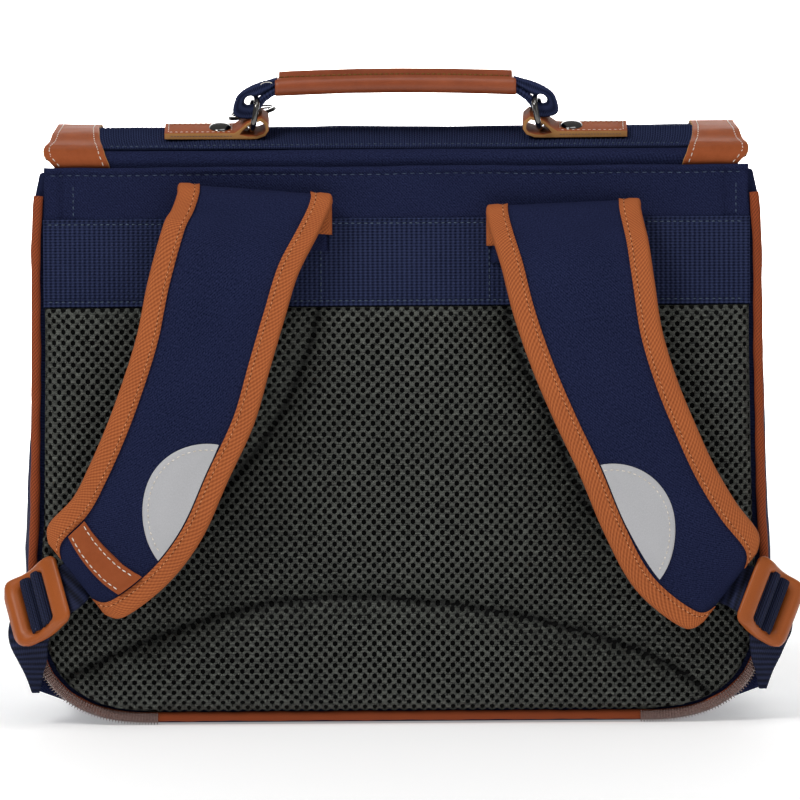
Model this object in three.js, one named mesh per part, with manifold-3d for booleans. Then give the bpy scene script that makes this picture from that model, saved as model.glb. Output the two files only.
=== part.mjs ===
// School satchel worn on the back, in millimetres.
// +Z is up, the wearer's side with the shoulder straps faces -Y, and the origin is the middle of the base.
import * as THREE from 'three';
import { mergeVertices } from 'three/addons/utils/BufferGeometryUtils.js';
import Module from 'manifold-3d';

// Driving sizes of the box
const BODY_HALF = 190.5;        // half width at the widest, seam to seam
const BODY_HEIGHT = 286;        // base to the hem of the back
const HALF_DEPTH = 70;          // half of the gusset's depth
const WALL = 3;                 // cloth over stiffener
const CORNER_WIDE = 65;         // how far the bottom corners' curve runs along the base
const CORNER_TALL = 60;         // and up the sides
const CORNER_POWER = 2.6;       // 2 is an ellipse, more is squarer
const BACK_EDGE = 5;            // rounding where gusset and back panel meet
const FRONT_EDGE = 10;
const GUSSET_BULGE = 4.2;
const FRONT_BULGE = 2;
const EDGE_SQUARE = 0.8;        // the back edge turns within this share of its rounding
const RIM_DROP = 22;            // the front of the rim is lower than the back
const RIM_BELOW_HEM = 2;
const GAP = 0.3;                // between pieces that touch

// Driving sizes of what is sewn to the back
const PIPING_RADIUS = 2.4;
const PIPING_INSET = 2.5;
const PIPING_LIFT = 3.9;
const GUARD_WALL = 0.8;
const GUARD_TOP = 38;
const GUARD_REACH = 68;         // how far the guards run in from the corner along the base
const WEBBING_BAND = 45;
const HEM_HEIGHT = 25.7;        // from the webbing band to the hem
const WEBBING_TOP = BODY_HEIGHT - HEM_HEIGHT;
const WEBBING_THICK = 2.2;
const PAD_MARGIN = 7.2;
const PAD_EDGE = 2.2;
const PAD_WING = 10;
const PAD_CENTRE = 8.5;
const PAD_LUMBAR = 12;
const PAD_ROLL = 24;            // width of the pad's rounded border
const GROOVE_HALF = 6.5;
const GROOVE_DEPTH = 0.68;      // share of the pad's thickness

// Driving sizes of the lid
const LID_RISE = 15.3;          // the lid's highest line above the hem
const LID_CREST = BODY_HEIGHT + LID_RISE;
const LID_INSET = 10;
const LID_HALF = BODY_HALF - LID_INSET;
const LID_THICK = 3.5;
const LID_WEB_THICK = 1.5;
const LEATHER = 1.7;

// Driving sizes of the shoulder straps
const STRAP_WIDTH = 80;
const STRAP_PAD = 9;
const STRAP_ROOT = 3;
const STRAP_EDGE = 4.2;
const STRAP_BOW = 35;           // how far the strap's middle stands off the back panel
const TAPE_WIDTH = 11.5;
const TAPE_THICK = 1.2;
const REFLECTOR_RADIUS = 33;
const LABEL_WIDTH = 10.8;
const TRIM_THICK = 0.9;

// Driving sizes of buckles and lower webbing
const BUCKLE_LENGTH = 34.5;
const BUCKLE_WIDTH = 36;
const WINDOW_WIDTH = 26.4;
const BAR_RADIUS = 1.8;
const WEB_THICK = 1.6;
const WEB_WIDTH = 25;

// Driving sizes of the handle
const HANDLE_BACK = 42;         // how far the handle sits behind the middle
const GRIP_HALF = 62;
const GRIP_ARCH = 1.5;
const HANDLE_WEB_WIDTH = 15;
const RING_WIRE = 3.3;
const RING_HALF_HEIGHT = 8.1;
const RING_HALF_DEPTH = 14.5;
const RING_SIDE = 73.6;
const RING_LEAN = 1.4;
const RING_POWER = 3.4;         // squareness of the oval
const TAB_WIDTH = 16.5;
const TAB_TILT = 5;             // degrees, as the lid slopes there
const RIVET_RADIUS = 5.7;
const RIVET_HEIGHT = 1.7;
const SPLIT_RING_RADIUS = 13;
const SPLIT_RING_BAND = 2.2;
const SPLIT_RING_TILT = 12;     // degrees
const SPLIT_RING_SHIFT = 2;

const wasm = await Module();
wasm.setup();
const bag = new THREE.Group();
const vec = (x, y, z) => new THREE.Vector3(x, y, z);
const mix = (a, b, share) => a + (b - a) * share;

// Finishes

function finish(color, roughness, metalness = 0) {
  return () => new THREE.MeshStandardMaterial({ color, roughness, metalness });
}
const navyTwill = finish(0x1f2542, 0.85);
const navyWebbing = finish(0x232b4d, 0.8);
const meshCloth = finish(0x464a44, 0.95);
const tanTape = finish(0xbe6237, 0.8);
const tanLeather = finish(0xa55a3c, 0.55);
const tanPlastic = finish(0xa55228, 0.4);
const clearPlastic = finish(0xb9a79b, 0.3);
const reflective = finish(0xb5b6ba, 0.35);
const blackNickel = finish(0x2c2a2a, 0.25, 1);

function addPiece(name, geometry, material) {
  const piece = new THREE.Mesh(geometry, material());
  piece.name = name;
  bag.add(piece);
  return piece;
}

// Closed bodies from rows of points

function closedBody(points, faces) {
  const geometry = new THREE.BufferGeometry();
  geometry.setAttribute('position', new THREE.Float32BufferAttribute(points.flatMap((p) => [p.x, p.y, p.z]), 3));
  let volume = 0;
  for (const [a, b, c] of faces) {
    volume += points[a].dot(vec().crossVectors(points[b], points[c]));
  }
  const outward = volume > 0 ? faces : faces.map(([a, b, c]) => [a, c, b]);
  geometry.setIndex(outward.flat());
  return geometry;
}

function sideFaces(rowCount, ringSize, closed) {
  const faces = [];
  const lastRow = closed ? rowCount : rowCount - 1;
  for (let row = 0; row < lastRow; row += 1) {
    const near = row * ringSize;
    const far = ((row + 1) % rowCount) * ringSize;
    for (let k = 0; k < ringSize; k += 1) {
      const next = (k + 1) % ringSize;
      faces.push([near + k, near + next, far + next], [near + k, far + next, far + k]);
    }
  }
  return faces;
}

// Rings of convex outline, one after another, closed by a fan at each end or joined end to end
function bodyFromRings(rings, joined = false) {
  const size = rings[0].length;
  const points = rings.flat();
  const faces = sideFaces(rings.length, size, joined);
  if (!joined) {
    for (const [ring, start, turned] of [[rings[0], 0, true], [rings.at(-1), points.length - size, false]]) {
      const middle = ring.reduce((sum, p) => sum.add(p), vec(0, 0, 0)).divideScalar(size);
      const hub = points.push(middle) - 1;
      for (let k = 0; k < size; k += 1) {
        const next = (k + 1) % size;
        faces.push(turned ? [hub, start + next, start + k] : [hub, start + k, start + next]);
      }
    }
  }
  return closedBody(points, faces);
}

// Rows with an outer and an inner line of points, closed by a strip at each end
function bodyFromBands(rows) {
  const half = rows[0].outer.length;
  const rings = rows.map((row) => [...row.outer, ...[...row.inner].reverse()]);
  const points = rings.flat();
  const faces = sideFaces(rows.length, half * 2, false);
  const last = points.length - half * 2;
  for (let k = 0; k < half - 1; k += 1) {
    const [a, b, c, d] = [k, k + 1, 2 * half - 2 - k, 2 * half - 1 - k];
    faces.push([a, c, b], [a, d, c]);
    faces.push([last + a, last + b, last + c], [last + a, last + c, last + d]);
  }
  return closedBody(points, faces);
}

// A flat outline made solid along a third direction: across, up and along are the outline's axes and its depth
function plate(outline, depth, holes = []) {
  const points = outline.map(([a, b]) => new THREE.Vector2(a, b));
  const shape = new THREE.Shape(THREE.ShapeUtils.isClockWise(points) ? points.reverse() : points);
  for (const hole of holes) {
    shape.holes.push(new THREE.Path(hole.map(([a, b]) => new THREE.Vector2(a, b))));
  }
  const geometry = new THREE.ExtrudeGeometry(shape, { depth, bevelEnabled: false });
  geometry.translate(0, 0, -depth / 2);
  return geometry;
}

// An outline drawn in x and z, with its depth along y
function standingPlate(outline, depth, holes) {
  return plate(outline, depth, holes).rotateX(Math.PI / 2);
}

function welded(geometry) {
  const bare = geometry.clone();
  bare.deleteAttribute('normal');
  bare.deleteAttribute('uv');
  return mergeVertices(bare, 1e-4);
}

function solid(geometry) {
  const merged = welded(geometry);
  return new wasm.Manifold(new wasm.Mesh({
    numProp: 3,
    vertProperties: new Float32Array(merged.attributes.position.array),
    triVerts: new Uint32Array(merged.index.array),
  }));
}

function fromSolid(body) {
  const mesh = body.getMesh();
  const geometry = new THREE.BufferGeometry();
  geometry.setAttribute('position', new THREE.BufferAttribute(new Float32Array(mesh.vertProperties), 3));
  geometry.setIndex(new THREE.BufferAttribute(new Uint32Array(mesh.triVerts), 1));
  return geometry;
}

// Reads a table of rows at any place between them
function readTable(rows, key, place, column) {
  if (place <= rows[0][key]) {
    return rows[0][column];
  }
  for (let k = 1; k < rows.length; k += 1) {
    if (place <= rows[k][key]) {
      const share = (place - rows[k - 1][key]) / (rows[k][key] - rows[k - 1][key]);
      return mix(rows[k - 1][column], rows[k][column], share);
    }
  }
  return rows.at(-1)[column];
}

// The box

// height is a share of BODY_HEIGHT, width of BODY_HALF and bulge of GUSSET_BULGE
const SIDE_ROWS = [
  { height: 0.00, width: 0.992, bulge: 0.05 },
  { height: 0.06, width: 0.994, bulge: 0.40 },
  { height: 0.21, width: 0.998, bulge: 0.90 },
  { height: 0.30, width: 1.000, bulge: 1.00 },
  { height: 0.37, width: 0.993, bulge: 1.00 },
  { height: 0.50, width: 0.989, bulge: 0.78 },
  { height: 0.67, width: 0.985, bulge: 0.50 },
  { height: 0.86, width: 0.984, bulge: 0.32 },
  { height: 0.95, width: 0.976, bulge: 0.10 },
  { height: 1.00, width: 0.960, bulge: 0.00 },
];

// Half width of the back panel's outline at a height, drawn in by an inset at the sides and a lift at the base
function outlineHalf(z, inset = 0, lift = 0) {
  const full = BODY_HALF * readTable(SIDE_ROWS, 'height', z / BODY_HEIGHT, 'width') - inset;
  if (z >= CORNER_TALL) {
    return full;
  }
  const drop = Math.min((CORNER_TALL - z) / (CORNER_TALL - lift), 1);
  const curve = (1 - drop ** CORNER_POWER) ** (1 / CORNER_POWER);
  return full - (CORNER_WIDE - inset) * (1 - curve);
}

function gussetBulge(z) {
  return GUSSET_BULGE * readTable(SIDE_ROWS, 'height', z / BODY_HEIGHT, 'bulge');
}

// One level of the box: x and y of its outline, with the corners as arcs and the sides and front swollen
function boxLevel(z, inset) {
  const half = outlineHalf(z, inset, inset);
  const rise = Math.max(z - inset, 0);
  const edgeDrop = BACK_EDGE - Math.sqrt(Math.max(BACK_EDGE ** 2 - Math.max(BACK_EDGE - rise, 0) ** 2, 0));
  const depth = HALF_DEPTH - inset - edgeDrop;
  const bulge = gussetBulge(z);
  const right = [];
  const backTurn = BACK_EDGE * EDGE_SQUARE;
  for (const angle of [0, 45, 90]) {
    const turn = THREE.MathUtils.degToRad(angle);
    right.push([half - backTurn + backTurn * Math.sin(turn), -depth + backTurn - backTurn * Math.cos(turn)]);
  }
  for (const share of [-0.5, 0, 0.5]) {
    right.push([half + bulge * (1 - share ** 2), depth * share]);
  }
  for (const angle of [90, 45, 0]) {
    const turn = THREE.MathUtils.degToRad(angle);
    right.push([half - FRONT_EDGE * (1 - Math.sin(turn)), depth - FRONT_EDGE * (1 - Math.cos(turn))]);
  }
  const midway = 0.5;
  right.push([half * midway, depth + FRONT_BULGE * (1 - midway ** 2)]);
  const left = right.map(([x, y]) => [-x, y]).reverse();
  return [...right, [0, depth + FRONT_BULGE], ...left];
}

// The rim slopes from the hem of the back down to the front
function rimHeight(y) {
  const share = (y + HALF_DEPTH) / (2 * HALF_DEPTH);
  return BODY_HEIGHT - RIM_BELOW_HEM - RIM_DROP * THREE.MathUtils.clamp(share, 0, 1);
}

const BOX_LEVELS = [0.022, 0.045, 0.08, 0.13, 0.21, 0.30, 0.42, 0.60, 0.80, 0.93, 1.00];
const SLOPE_START = 0.6;

function boxRing(z, share, inset) {
  return boxLevel(z, inset).map(([x, y]) => {
    const slope = THREE.MathUtils.clamp((share - SLOPE_START) / (1 - SLOPE_START), 0, 1);
    return vec(x, y, z - slope * (BODY_HEIGHT - rimHeight(y)));
  });
}

function makeBodyShell() {
  const outer = [boxRing(0, 0, 0), boxRing(BACK_EDGE * 0.3, 0, 0)];
  const inner = [boxRing(WALL, 0, WALL), boxRing(WALL + BACK_EDGE * 0.3, 0, WALL)];
  for (const share of BOX_LEVELS) {
    outer.push(boxRing(BODY_HEIGHT * share, share, 0));
    if (BODY_HEIGHT * share > WALL + BACK_EDGE) {
      inner.push(boxRing(BODY_HEIGHT * share, share, WALL));
    }
  }
  return bodyFromRings([...outer, ...inner.reverse()]);
}

// The piping and its guards follow one line round the back panel

const PIPING_Y = -(HALF_DEPTH + PIPING_RADIUS + GAP);
const PIPING_ROOM = PIPING_INSET + PIPING_RADIUS + 2 * GAP;   // from the outline to what lies inside the piping
const PIPING_TOP = BODY_HEIGHT * 0.953;
const PIPING_SIDE_LEVELS = [1.00, 0.80, 0.60, 0.42, 0.30];
const CORNER_STEPS = 9;

// Points of the line on the right side, from its top end to the middle of the base
function pipingRight() {
  const points = PIPING_SIDE_LEVELS.map((share) => {
    const z = PIPING_TOP * share;
    return [outlineHalf(z, PIPING_INSET, PIPING_LIFT), z];
  });
  for (let k = 0; k <= CORNER_STEPS; k += 1) {
    const turn = (Math.PI / 2) * (k / CORNER_STEPS);
    const drop = Math.sin(turn) ** (2 / CORNER_POWER);
    const z = CORNER_TALL - (CORNER_TALL - PIPING_LIFT) * drop;
    points.push([outlineHalf(z, PIPING_INSET, PIPING_LIFT), z]);
  }
  return points;
}

// Centre and outward direction of each step of the line from the left top end to the right top end
function pipingLine() {
  const right = pipingRight();
  const points = [...right.map(([x, z]) => [-x, z]), ...right.reverse()];
  return points.map(([x, z], k) => {
    const before = points[Math.max(k - 1, 0)];
    const after = points[Math.min(k + 1, points.length - 1)];
    const along = new THREE.Vector2(after[0] - before[0], after[1] - before[1]).normalize();
    return { centre: vec(x, PIPING_Y, z), out: vec(along.y, 0, -along.x) };
  });
}

function roundAt(step, radius, angle) {
  const turn = THREE.MathUtils.degToRad(angle);
  const towardsBack = vec(0, -1, 0);
  return step.centre.clone()
    .addScaledVector(step.out, radius * Math.cos(turn))
    .addScaledVector(towardsBack, radius * Math.sin(turn));
}

function makePiping() {
  const turns = [0, 45, 90, 135, 180, 225, 270, 315];
  return bodyFromRings(pipingLine().map((step) => turns.map((angle) => roundAt(step, PIPING_RADIUS, angle))));
}

function makeGuard(side) {
  const steps = pipingLine().filter(({ centre }) => {
    const onSide = centre.x * side > 0;
    return onSide && centre.z < GUARD_TOP && Math.abs(centre.x) > BODY_HALF - GUARD_REACH;
  });
  const inner = PIPING_RADIUS + GAP;
  const turns = [-35, 0, 35, 70, 105, 130];
  return bodyFromBands(steps.map((step) => ({
    outer: turns.map((angle) => roundAt(step, inner + GUARD_WALL, angle)),
    inner: turns.map((angle) => roundAt(step, inner, angle)),
  })));
}

// The back pad

const PAD_CLEAR = 0.5;          // between the pad and the webbing band
const PAD_TOP = WEBBING_TOP - WEBBING_BAND - PAD_CLEAR;
const PAD_BACK_Y = -(HALF_DEPTH + GAP);

// Sewn grooves: side is a share of BODY_HALF, height of BODY_HEIGHT
const WING_GROOVE_LEFT = [
  { side: -0.206, height: 0.75 },
  { side: -0.262, height: 0.632 },
  { side: -0.365, height: 0.506 },
  { side: -0.472, height: 0.420 },
  { side: -0.660, height: 0.352 },
  { side: -0.940, height: 0.315 },
];
const WING_GROOVE_RIGHT = [
  { side: 0.290, height: 0.75 },
  { side: 0.330, height: 0.659 },
  { side: 0.397, height: 0.569 },
  { side: 0.513, height: 0.386 },
  { side: 0.680, height: 0.335 },
  { side: 0.940, height: 0.300 },
];
const LUMBAR_GROOVE = [
  { side: -0.900, height: 0.084 },
  { side: -0.667, height: 0.156 },
  { side: -0.344, height: 0.220 },
  { side: -0.034, height: 0.228 },
  { side: 0.357, height: 0.190 },
  { side: 0.650, height: 0.130 },
  { side: 0.835, height: 0.054 },
];

function distanceToGroove(rows, x, z) {
  let nearest = Infinity;
  const spot = vec(x, 0, z);
  for (let k = 1; k < rows.length; k += 1) {
    const from = vec(rows[k - 1].side * BODY_HALF, 0, rows[k - 1].height * BODY_HEIGHT);
    const to = vec(rows[k].side * BODY_HALF, 0, rows[k].height * BODY_HEIGHT);
    const closest = new THREE.Line3(from, to).closestPointToPoint(spot, true, vec());
    nearest = Math.min(nearest, closest.distanceTo(spot));
  }
  return nearest;
}

function padThickness(x, z) {
  const border = Math.min(
    outlineHalf(z, PAD_MARGIN, PAD_MARGIN) - Math.abs(x),
    z - PAD_MARGIN,
    (PAD_TOP - z) * 2,
  );
  const share = THREE.MathUtils.clamp(border / PAD_ROLL, 0, 1);
  const rolled = Math.sqrt(1 - (1 - share) ** 2);
  const wingGroove = x < 0 ? WING_GROOVE_LEFT : WING_GROOVE_RIGHT;
  const wing = distanceToGroove(wingGroove, x, z);
  const lumbar = distanceToGroove(LUMBAR_GROOVE, x, z);
  const lumbarLine = readTable(LUMBAR_GROOVE, 'side', x / BODY_HALF, 'height') * BODY_HEIGHT;
  const grooveLine = Math.abs(readTable(wingGroove, 'height', z / BODY_HEIGHT, 'side')) * BODY_HALF;
  const crown = z < lumbarLine ? PAD_LUMBAR : (Math.abs(x) > grooveLine ? PAD_WING : PAD_CENTRE);
  const sewn = 1 - GROOVE_DEPTH * Math.exp(-((Math.min(wing, lumbar) / GROOVE_HALF) ** 2));
  return PAD_EDGE + (crown - PAD_EDGE) * rolled * sewn;
}

const PAD_COLUMNS = 38;
const PAD_ROWS = 26;

function makeBackPad() {
  const rings = [];
  for (let row = 0; row <= PAD_ROWS; row += 1) {
    const z = mix(PAD_MARGIN + 2 * GAP, PAD_TOP, row / PAD_ROWS);
    const half = outlineHalf(z, PAD_MARGIN, PAD_MARGIN);
    const ring = [];
    for (let column = 0; column <= PAD_COLUMNS; column += 1) {
      const x = mix(-half, half, column / PAD_COLUMNS);
      ring.push(vec(x, PAD_BACK_Y - padThickness(x, z), z));
    }
    ring.push(vec(half, PAD_BACK_Y, z), vec(-half, PAD_BACK_Y, z));
    rings.push(ring);
  }
  return bodyFromRings(rings);
}

// The hem and the webbing band above the pad

const BAND_FACE_Y = -(HALF_DEPTH + GAP + WEBBING_THICK);
const HEM_INSET = 2.5;
const HEM_TURN = 3;             // rounding of the hem's ends
const HEM_RISE = 1;             // the hem stands above the box by its fold

function makeYokePanel() {
  const low = WEBBING_TOP + GAP;
  const high = BODY_HEIGHT + HEM_RISE;
  const lowHalf = outlineHalf(low, PIPING_ROOM);
  const middleHalf = outlineHalf(PIPING_TOP, PIPING_ROOM);
  const highHalf = outlineHalf(BODY_HEIGHT) - HEM_INSET;
  const right = [[lowHalf, low], [middleHalf, PIPING_TOP], [highHalf, high - HEM_TURN], [highHalf - HEM_TURN, high]];
  const outline = [...right, ...right.map(([x, z]) => [-x, z]).reverse()];
  return standingPlate(outline, WEBBING_THICK).translate(0, BAND_FACE_Y + WEBBING_THICK / 2, 0);
}

function makeYokeWebbing() {
  const half = outlineHalf(WEBBING_TOP, PIPING_ROOM);
  return new THREE.BoxGeometry(2 * half, WEBBING_THICK, WEBBING_BAND)
    .translate(0, BAND_FACE_Y + WEBBING_THICK / 2, WEBBING_TOP - WEBBING_BAND / 2);
}

// The lid

// Outer face of the lid from behind the hem, over the top and down the front: depth is a share of HALF_DEPTH,
// height of LID_CREST, half and band of LID_HALF (the lid's side edge and the leather band's inner edge)
const TUCK_CLEAR = 0.5;
const TUCK = -(HALF_DEPTH - WALL - TUCK_CLEAR) / HALF_DEPTH;
const LID_ROWS = [
  { depth: TUCK, height: 0.870, half: 0.945, band: 0.812 },
  { depth: TUCK, height: 0.944, half: 0.958, band: 0.812 },
  { depth: -0.966, height: 0.956, half: 0.972, band: 0.815 },
  { depth: -0.962, height: 0.970, half: 1.000, band: 0.828 },
  { depth: -0.900, height: 0.980, half: 1.000, band: 0.834 },
  { depth: -0.757, height: 0.985, half: 0.989, band: 0.842 },
  { depth: -0.600, height: 0.990, half: 0.983, band: 0.848 },
  { depth: -0.286, height: 0.997, half: 0.977, band: 0.853 },
  { depth: 0.071, height: 1.000, half: 0.975, band: 0.853 },
  { depth: 0.429, height: 0.998, half: 0.978, band: 0.853 },
  { depth: 0.743, height: 0.987, half: 0.986, band: 0.853 },
  { depth: 0.943, height: 0.966, half: 0.994, band: 0.853 },
  { depth: 1.050, height: 0.933, half: 1.000, band: 0.853 },
  { depth: 1.086, height: 0.870, half: 1.000, band: 0.853 },
  { depth: 1.097, height: 0.714, half: 1.000, band: 0.853 },
  { depth: 1.100, height: 0.548, half: 0.994, band: 0.848 },
  { depth: 1.097, height: 0.398, half: 0.986, band: 0.842 },
  { depth: 1.089, height: 0.319, half: 0.950, band: 0.836 },
];

function lidLine() {
  const points = LID_ROWS.map((row) => new THREE.Vector2(row.depth * HALF_DEPTH, row.height * LID_CREST));
  let travelled = 0;
  return points.map((point, k) => {
    const before = points[Math.max(k - 1, 0)];
    const after = points[Math.min(k + 1, points.length - 1)];
    const along = after.clone().sub(before).normalize();
    travelled += k > 0 ? point.distanceTo(points[k - 1]) : 0;
    return {
      place: travelled,
      y: point.x,
      z: point.y,
      outY: -along.y,
      outZ: along.x,
      half: LID_ROWS[k].half * LID_HALF,
      band: LID_ROWS[k].band * LID_HALF,
    };
  });
}
const LID_LINE = lidLine();

// The lid's row at any distance along it, raised by a lift
function lidAt(place, lift) {
  const read = (column) => readTable(LID_LINE, 'place', place, column);
  const length = Math.hypot(read('outY'), read('outZ'));
  return {
    y: read('y') + (lift * read('outY')) / length,
    z: read('z') + (lift * read('outZ')) / length,
    half: read('half'),
    band: read('band'),
  };
}

// The distance along the lid at which its outer face reaches a depth on the top
function lidPlaceAtDepth(y) {
  const top = LID_LINE.filter((row) => row.z > LID_CREST * 0.975);
  return readTable(top, 'y', y, 'place');
}

const LID_COLUMNS = [-1, -0.5, 0, 0.5, 1];

function makeLidFlap() {
  return bodyFromBands(LID_LINE.map((row) => {
    const low = lidAt(row.place, -LID_THICK);
    return {
      outer: LID_COLUMNS.map((share) => vec(row.half * share, row.y, row.z)),
      inner: LID_COLUMNS.map((share) => vec(row.half * share, low.y, low.z)),
    };
  }));
}

// A strip that lies on the lid between two distances, its side edges given for each row
const SHORTEST_STEP = 1;

function lidStrip(start, end, thick, sides) {
  const places = LID_LINE.map((row) => row.place);
  const between = places.filter((place) => place > start + SHORTEST_STEP && place < end - SHORTEST_STEP);
  return bodyFromBands([start, ...between, end].map((place) => {
    const top = lidAt(place, GAP + thick);
    const under = lidAt(place, GAP);
    const edges = sides(top);
    return {
      outer: edges.map((x) => vec(x, top.y, top.z)),
      inner: edges.map((x) => vec(x, under.y, under.z)),
    };
  }));
}

const LID_WEB_START = lidPlaceAtDepth(-HALF_DEPTH * 0.9);
const LID_WEB_END = LID_WEB_START + WEBBING_BAND;

function makeLidWebbing() {
  return lidStrip(LID_WEB_START, LID_WEB_END, LID_WEB_THICK, (row) => [-row.band + GAP, 0, row.band - GAP]);
}

const BAND_START = 2;           // the leather bands start this far above the tuck's first fold

function makeLidBand(side) {
  const start = LID_LINE[1].place + BAND_START;
  return lidStrip(start, LID_LINE.at(-1).place, LEATHER, (row) => [side * row.band, side * row.half]);
}

// Shoulder straps

// The front layer of each strap from its fold down to its end. height is a share of BODY_HEIGHT, side of BODY_HALF,
// width of STRAP_WIDTH, bow of STRAP_BOW and thick of STRAP_PAD; lean is how far the strap is turned, in degrees.
const STRAP_ROWS = {
  left: [
    { height: 0.908, side: 0.405, width: 0.950, bow: 0.46, thick: 0.85, lean: 9 },
    { height: 0.858, side: 0.444, width: 0.913, bow: 0.57, thick: 0.97, lean: 19 },
    { height: 0.768, side: 0.484, width: 0.900, bow: 0.74, thick: 1.00, lean: 16.5 },
    { height: 0.678, side: 0.518, width: 0.870, bow: 0.88, thick: 1.00, lean: 15 },
    { height: 0.588, side: 0.559, width: 0.875, bow: 0.97, thick: 1.00, lean: 18.5 },
    { height: 0.499, side: 0.616, width: 0.845, bow: 1.00, thick: 1.00, lean: 25 },
    { height: 0.409, side: 0.677, width: 0.850, bow: 0.94, thick: 1.00, lean: 33 },
    { height: 0.341, side: 0.745, width: 0.813, bow: 0.86, thick: 1.00, lean: 43 },
    { height: 0.288, side: 0.835, width: 0.763, bow: 0.77, thick: 0.85, lean: 51 },
    { height: 0.274, side: 0.861, width: 0.600, bow: 0.74, thick: 0.60, lean: 52 },
  ],
  right: [
    { height: 0.889, side: 0.460, width: 0.975, bow: 0.48, thick: 0.85, lean: 4 },
    { height: 0.845, side: 0.478, width: 0.950, bow: 0.58, thick: 0.97, lean: 9 },
    { height: 0.768, side: 0.501, width: 0.920, bow: 0.74, thick: 1.00, lean: 12.5 },
    { height: 0.678, side: 0.535, width: 0.860, bow: 0.88, thick: 1.00, lean: 17 },
    { height: 0.588, side: 0.584, width: 0.820, bow: 0.97, thick: 1.00, lean: 21.5 },
    { height: 0.499, side: 0.642, width: 0.800, bow: 1.00, thick: 1.00, lean: 24 },
    { height: 0.409, side: 0.700, width: 0.820, bow: 0.94, thick: 1.00, lean: 31 },
    { height: 0.325, side: 0.771, width: 0.845, bow: 0.86, thick: 1.00, lean: 41 },
    { height: 0.264, side: 0.862, width: 0.775, bow: 0.77, thick: 0.85, lean: 51 },
    { height: 0.252, side: 0.886, width: 0.580, bow: 0.74, thick: 0.60, lean: 52 },
  ],
};
const STRAP_TOP = {
  left: { height: 0.956, side: 0.380, lean: 4.5 },
  right: { height: 0.929, side: 0.449, lean: 2.2 },
};
// The sewn end and the fold: drop and away are millimetres below the fold's top and off the sewn layer
const ROOT_REACH = 27;
const FOLD_ROWS = [
  { drop: 1.00, away: 0.00, thick: 0.00 },
  { drop: 0.33, away: 0.00, thick: 0.00 },
  { drop: 0.11, away: 0.26, thick: 0.10 },
  { drop: 0.00, away: 0.62, thick: 0.30 },
  { drop: 0.10, away: 1.00, thick: 0.55 },
];
const FOLD_DEPTH = 9.8;
const ROOT_Y = BAND_FACE_Y - GAP - STRAP_ROOT / 2;
const SIGN = { left: -1, right: 1 };

function strapFrames(side) {
  const sign = SIGN[side];
  const top = STRAP_TOP[side];
  const rows = FOLD_ROWS.map((row) => ({
    centre: vec(sign * top.side * BODY_HALF, ROOT_Y - row.away * FOLD_DEPTH,
      top.height * BODY_HEIGHT - row.drop * ROOT_REACH),
    width: STRAP_WIDTH * 0.985,
    thick: mix(STRAP_ROOT, STRAP_PAD, row.thick),
    lean: top.lean,
  }));
  for (const row of STRAP_ROWS[side]) {
    rows.push({
      centre: vec(sign * row.side * BODY_HALF, -HALF_DEPTH - row.bow * STRAP_BOW, row.height * BODY_HEIGHT),
      width: row.width * STRAP_WIDTH,
      thick: row.thick * STRAP_PAD,
      lean: row.lean,
    });
  }
  let travelled = 0;
  return rows.map((row, k) => {
    const before = rows[Math.max(k - 1, 0)].centre;
    const after = rows[Math.min(k + 1, rows.length - 1)].centre;
    const along = after.clone().sub(before).normalize();
    const lean = THREE.MathUtils.degToRad(row.lean);
    const inward = vec(-sign * Math.cos(lean), 0, -Math.sin(lean));
    inward.addScaledVector(along, -inward.dot(along)).normalize();
    travelled += k > 0 ? row.centre.distanceTo(rows[k - 1].centre) : 0;
    return { ...row, along, inward, face: vec().crossVectors(along, inward).multiplyScalar(-sign), place: travelled };
  });
}

// Half of the strap's thickness at a distance from its centre line
function strapHalfThick(frame, across) {
  const half = frame.width / 2 - TAPE_THICK - GAP;
  const edge = Math.min(STRAP_EDGE, frame.thick * 0.8) / 2;
  const full = frame.thick / 2;
  const profile = [
    { at: 0, half: full },
    { at: half * 0.5, half: mix(edge, full, 0.93) },
    { at: half - TAPE_WIDTH, half: mix(edge, full, 0.45) },
    { at: half, half: edge },
  ];
  return readTable(profile, 'at', Math.abs(across), 'half');
}

// A point above (positive height) or below the strap's faces, at a distance across from its centre line
function onStrap(frame, across, height) {
  const reach = Math.sign(height) * strapHalfThick(frame, across) + height;
  return frame.centre.clone().addScaledVector(frame.inward, across).addScaledVector(frame.face, reach);
}

// The strap's frame at any distance along it
function strapAt(frames, place) {
  let k = 1;
  while (k < frames.length - 1 && frames[k].place < place) {
    k += 1;
  }
  const [from, to] = [frames[k - 1], frames[k]];
  const share = (place - from.place) / (to.place - from.place);
  return {
    centre: from.centre.clone().lerp(to.centre, share),
    inward: from.inward.clone().lerp(to.inward, share).normalize(),
    face: from.face.clone().lerp(to.face, share).normalize(),
    along: from.along.clone().lerp(to.along, share).normalize(),
    width: mix(from.width, to.width, share),
    thick: mix(from.thick, to.thick, share),
  };
}

const TOUCH = 1e-6;

function makeStrap(frames) {
  return bodyFromBands(frames.map((frame) => {
    const half = frame.width / 2 - TAPE_THICK - GAP;
    const across = [-half, -half + TAPE_WIDTH, -half * 0.5, 0, half * 0.5, half - TAPE_WIDTH, half];
    return {
      outer: across.map((u) => onStrap(frame, u, TOUCH)),
      inner: across.map((u) => onStrap(frame, u, -TOUCH)),
    };
  }));
}

// Folded tape round one long edge: edge is +1 for the inner edge and -1 for the outer one
const TAPE_START = 5;           // the tape starts in front of the fold
const TAPE_CLEAR = 0.55;
const TAPE_SHORT = 2;           // each leg of the folded tape is this much narrower than the tape

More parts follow.
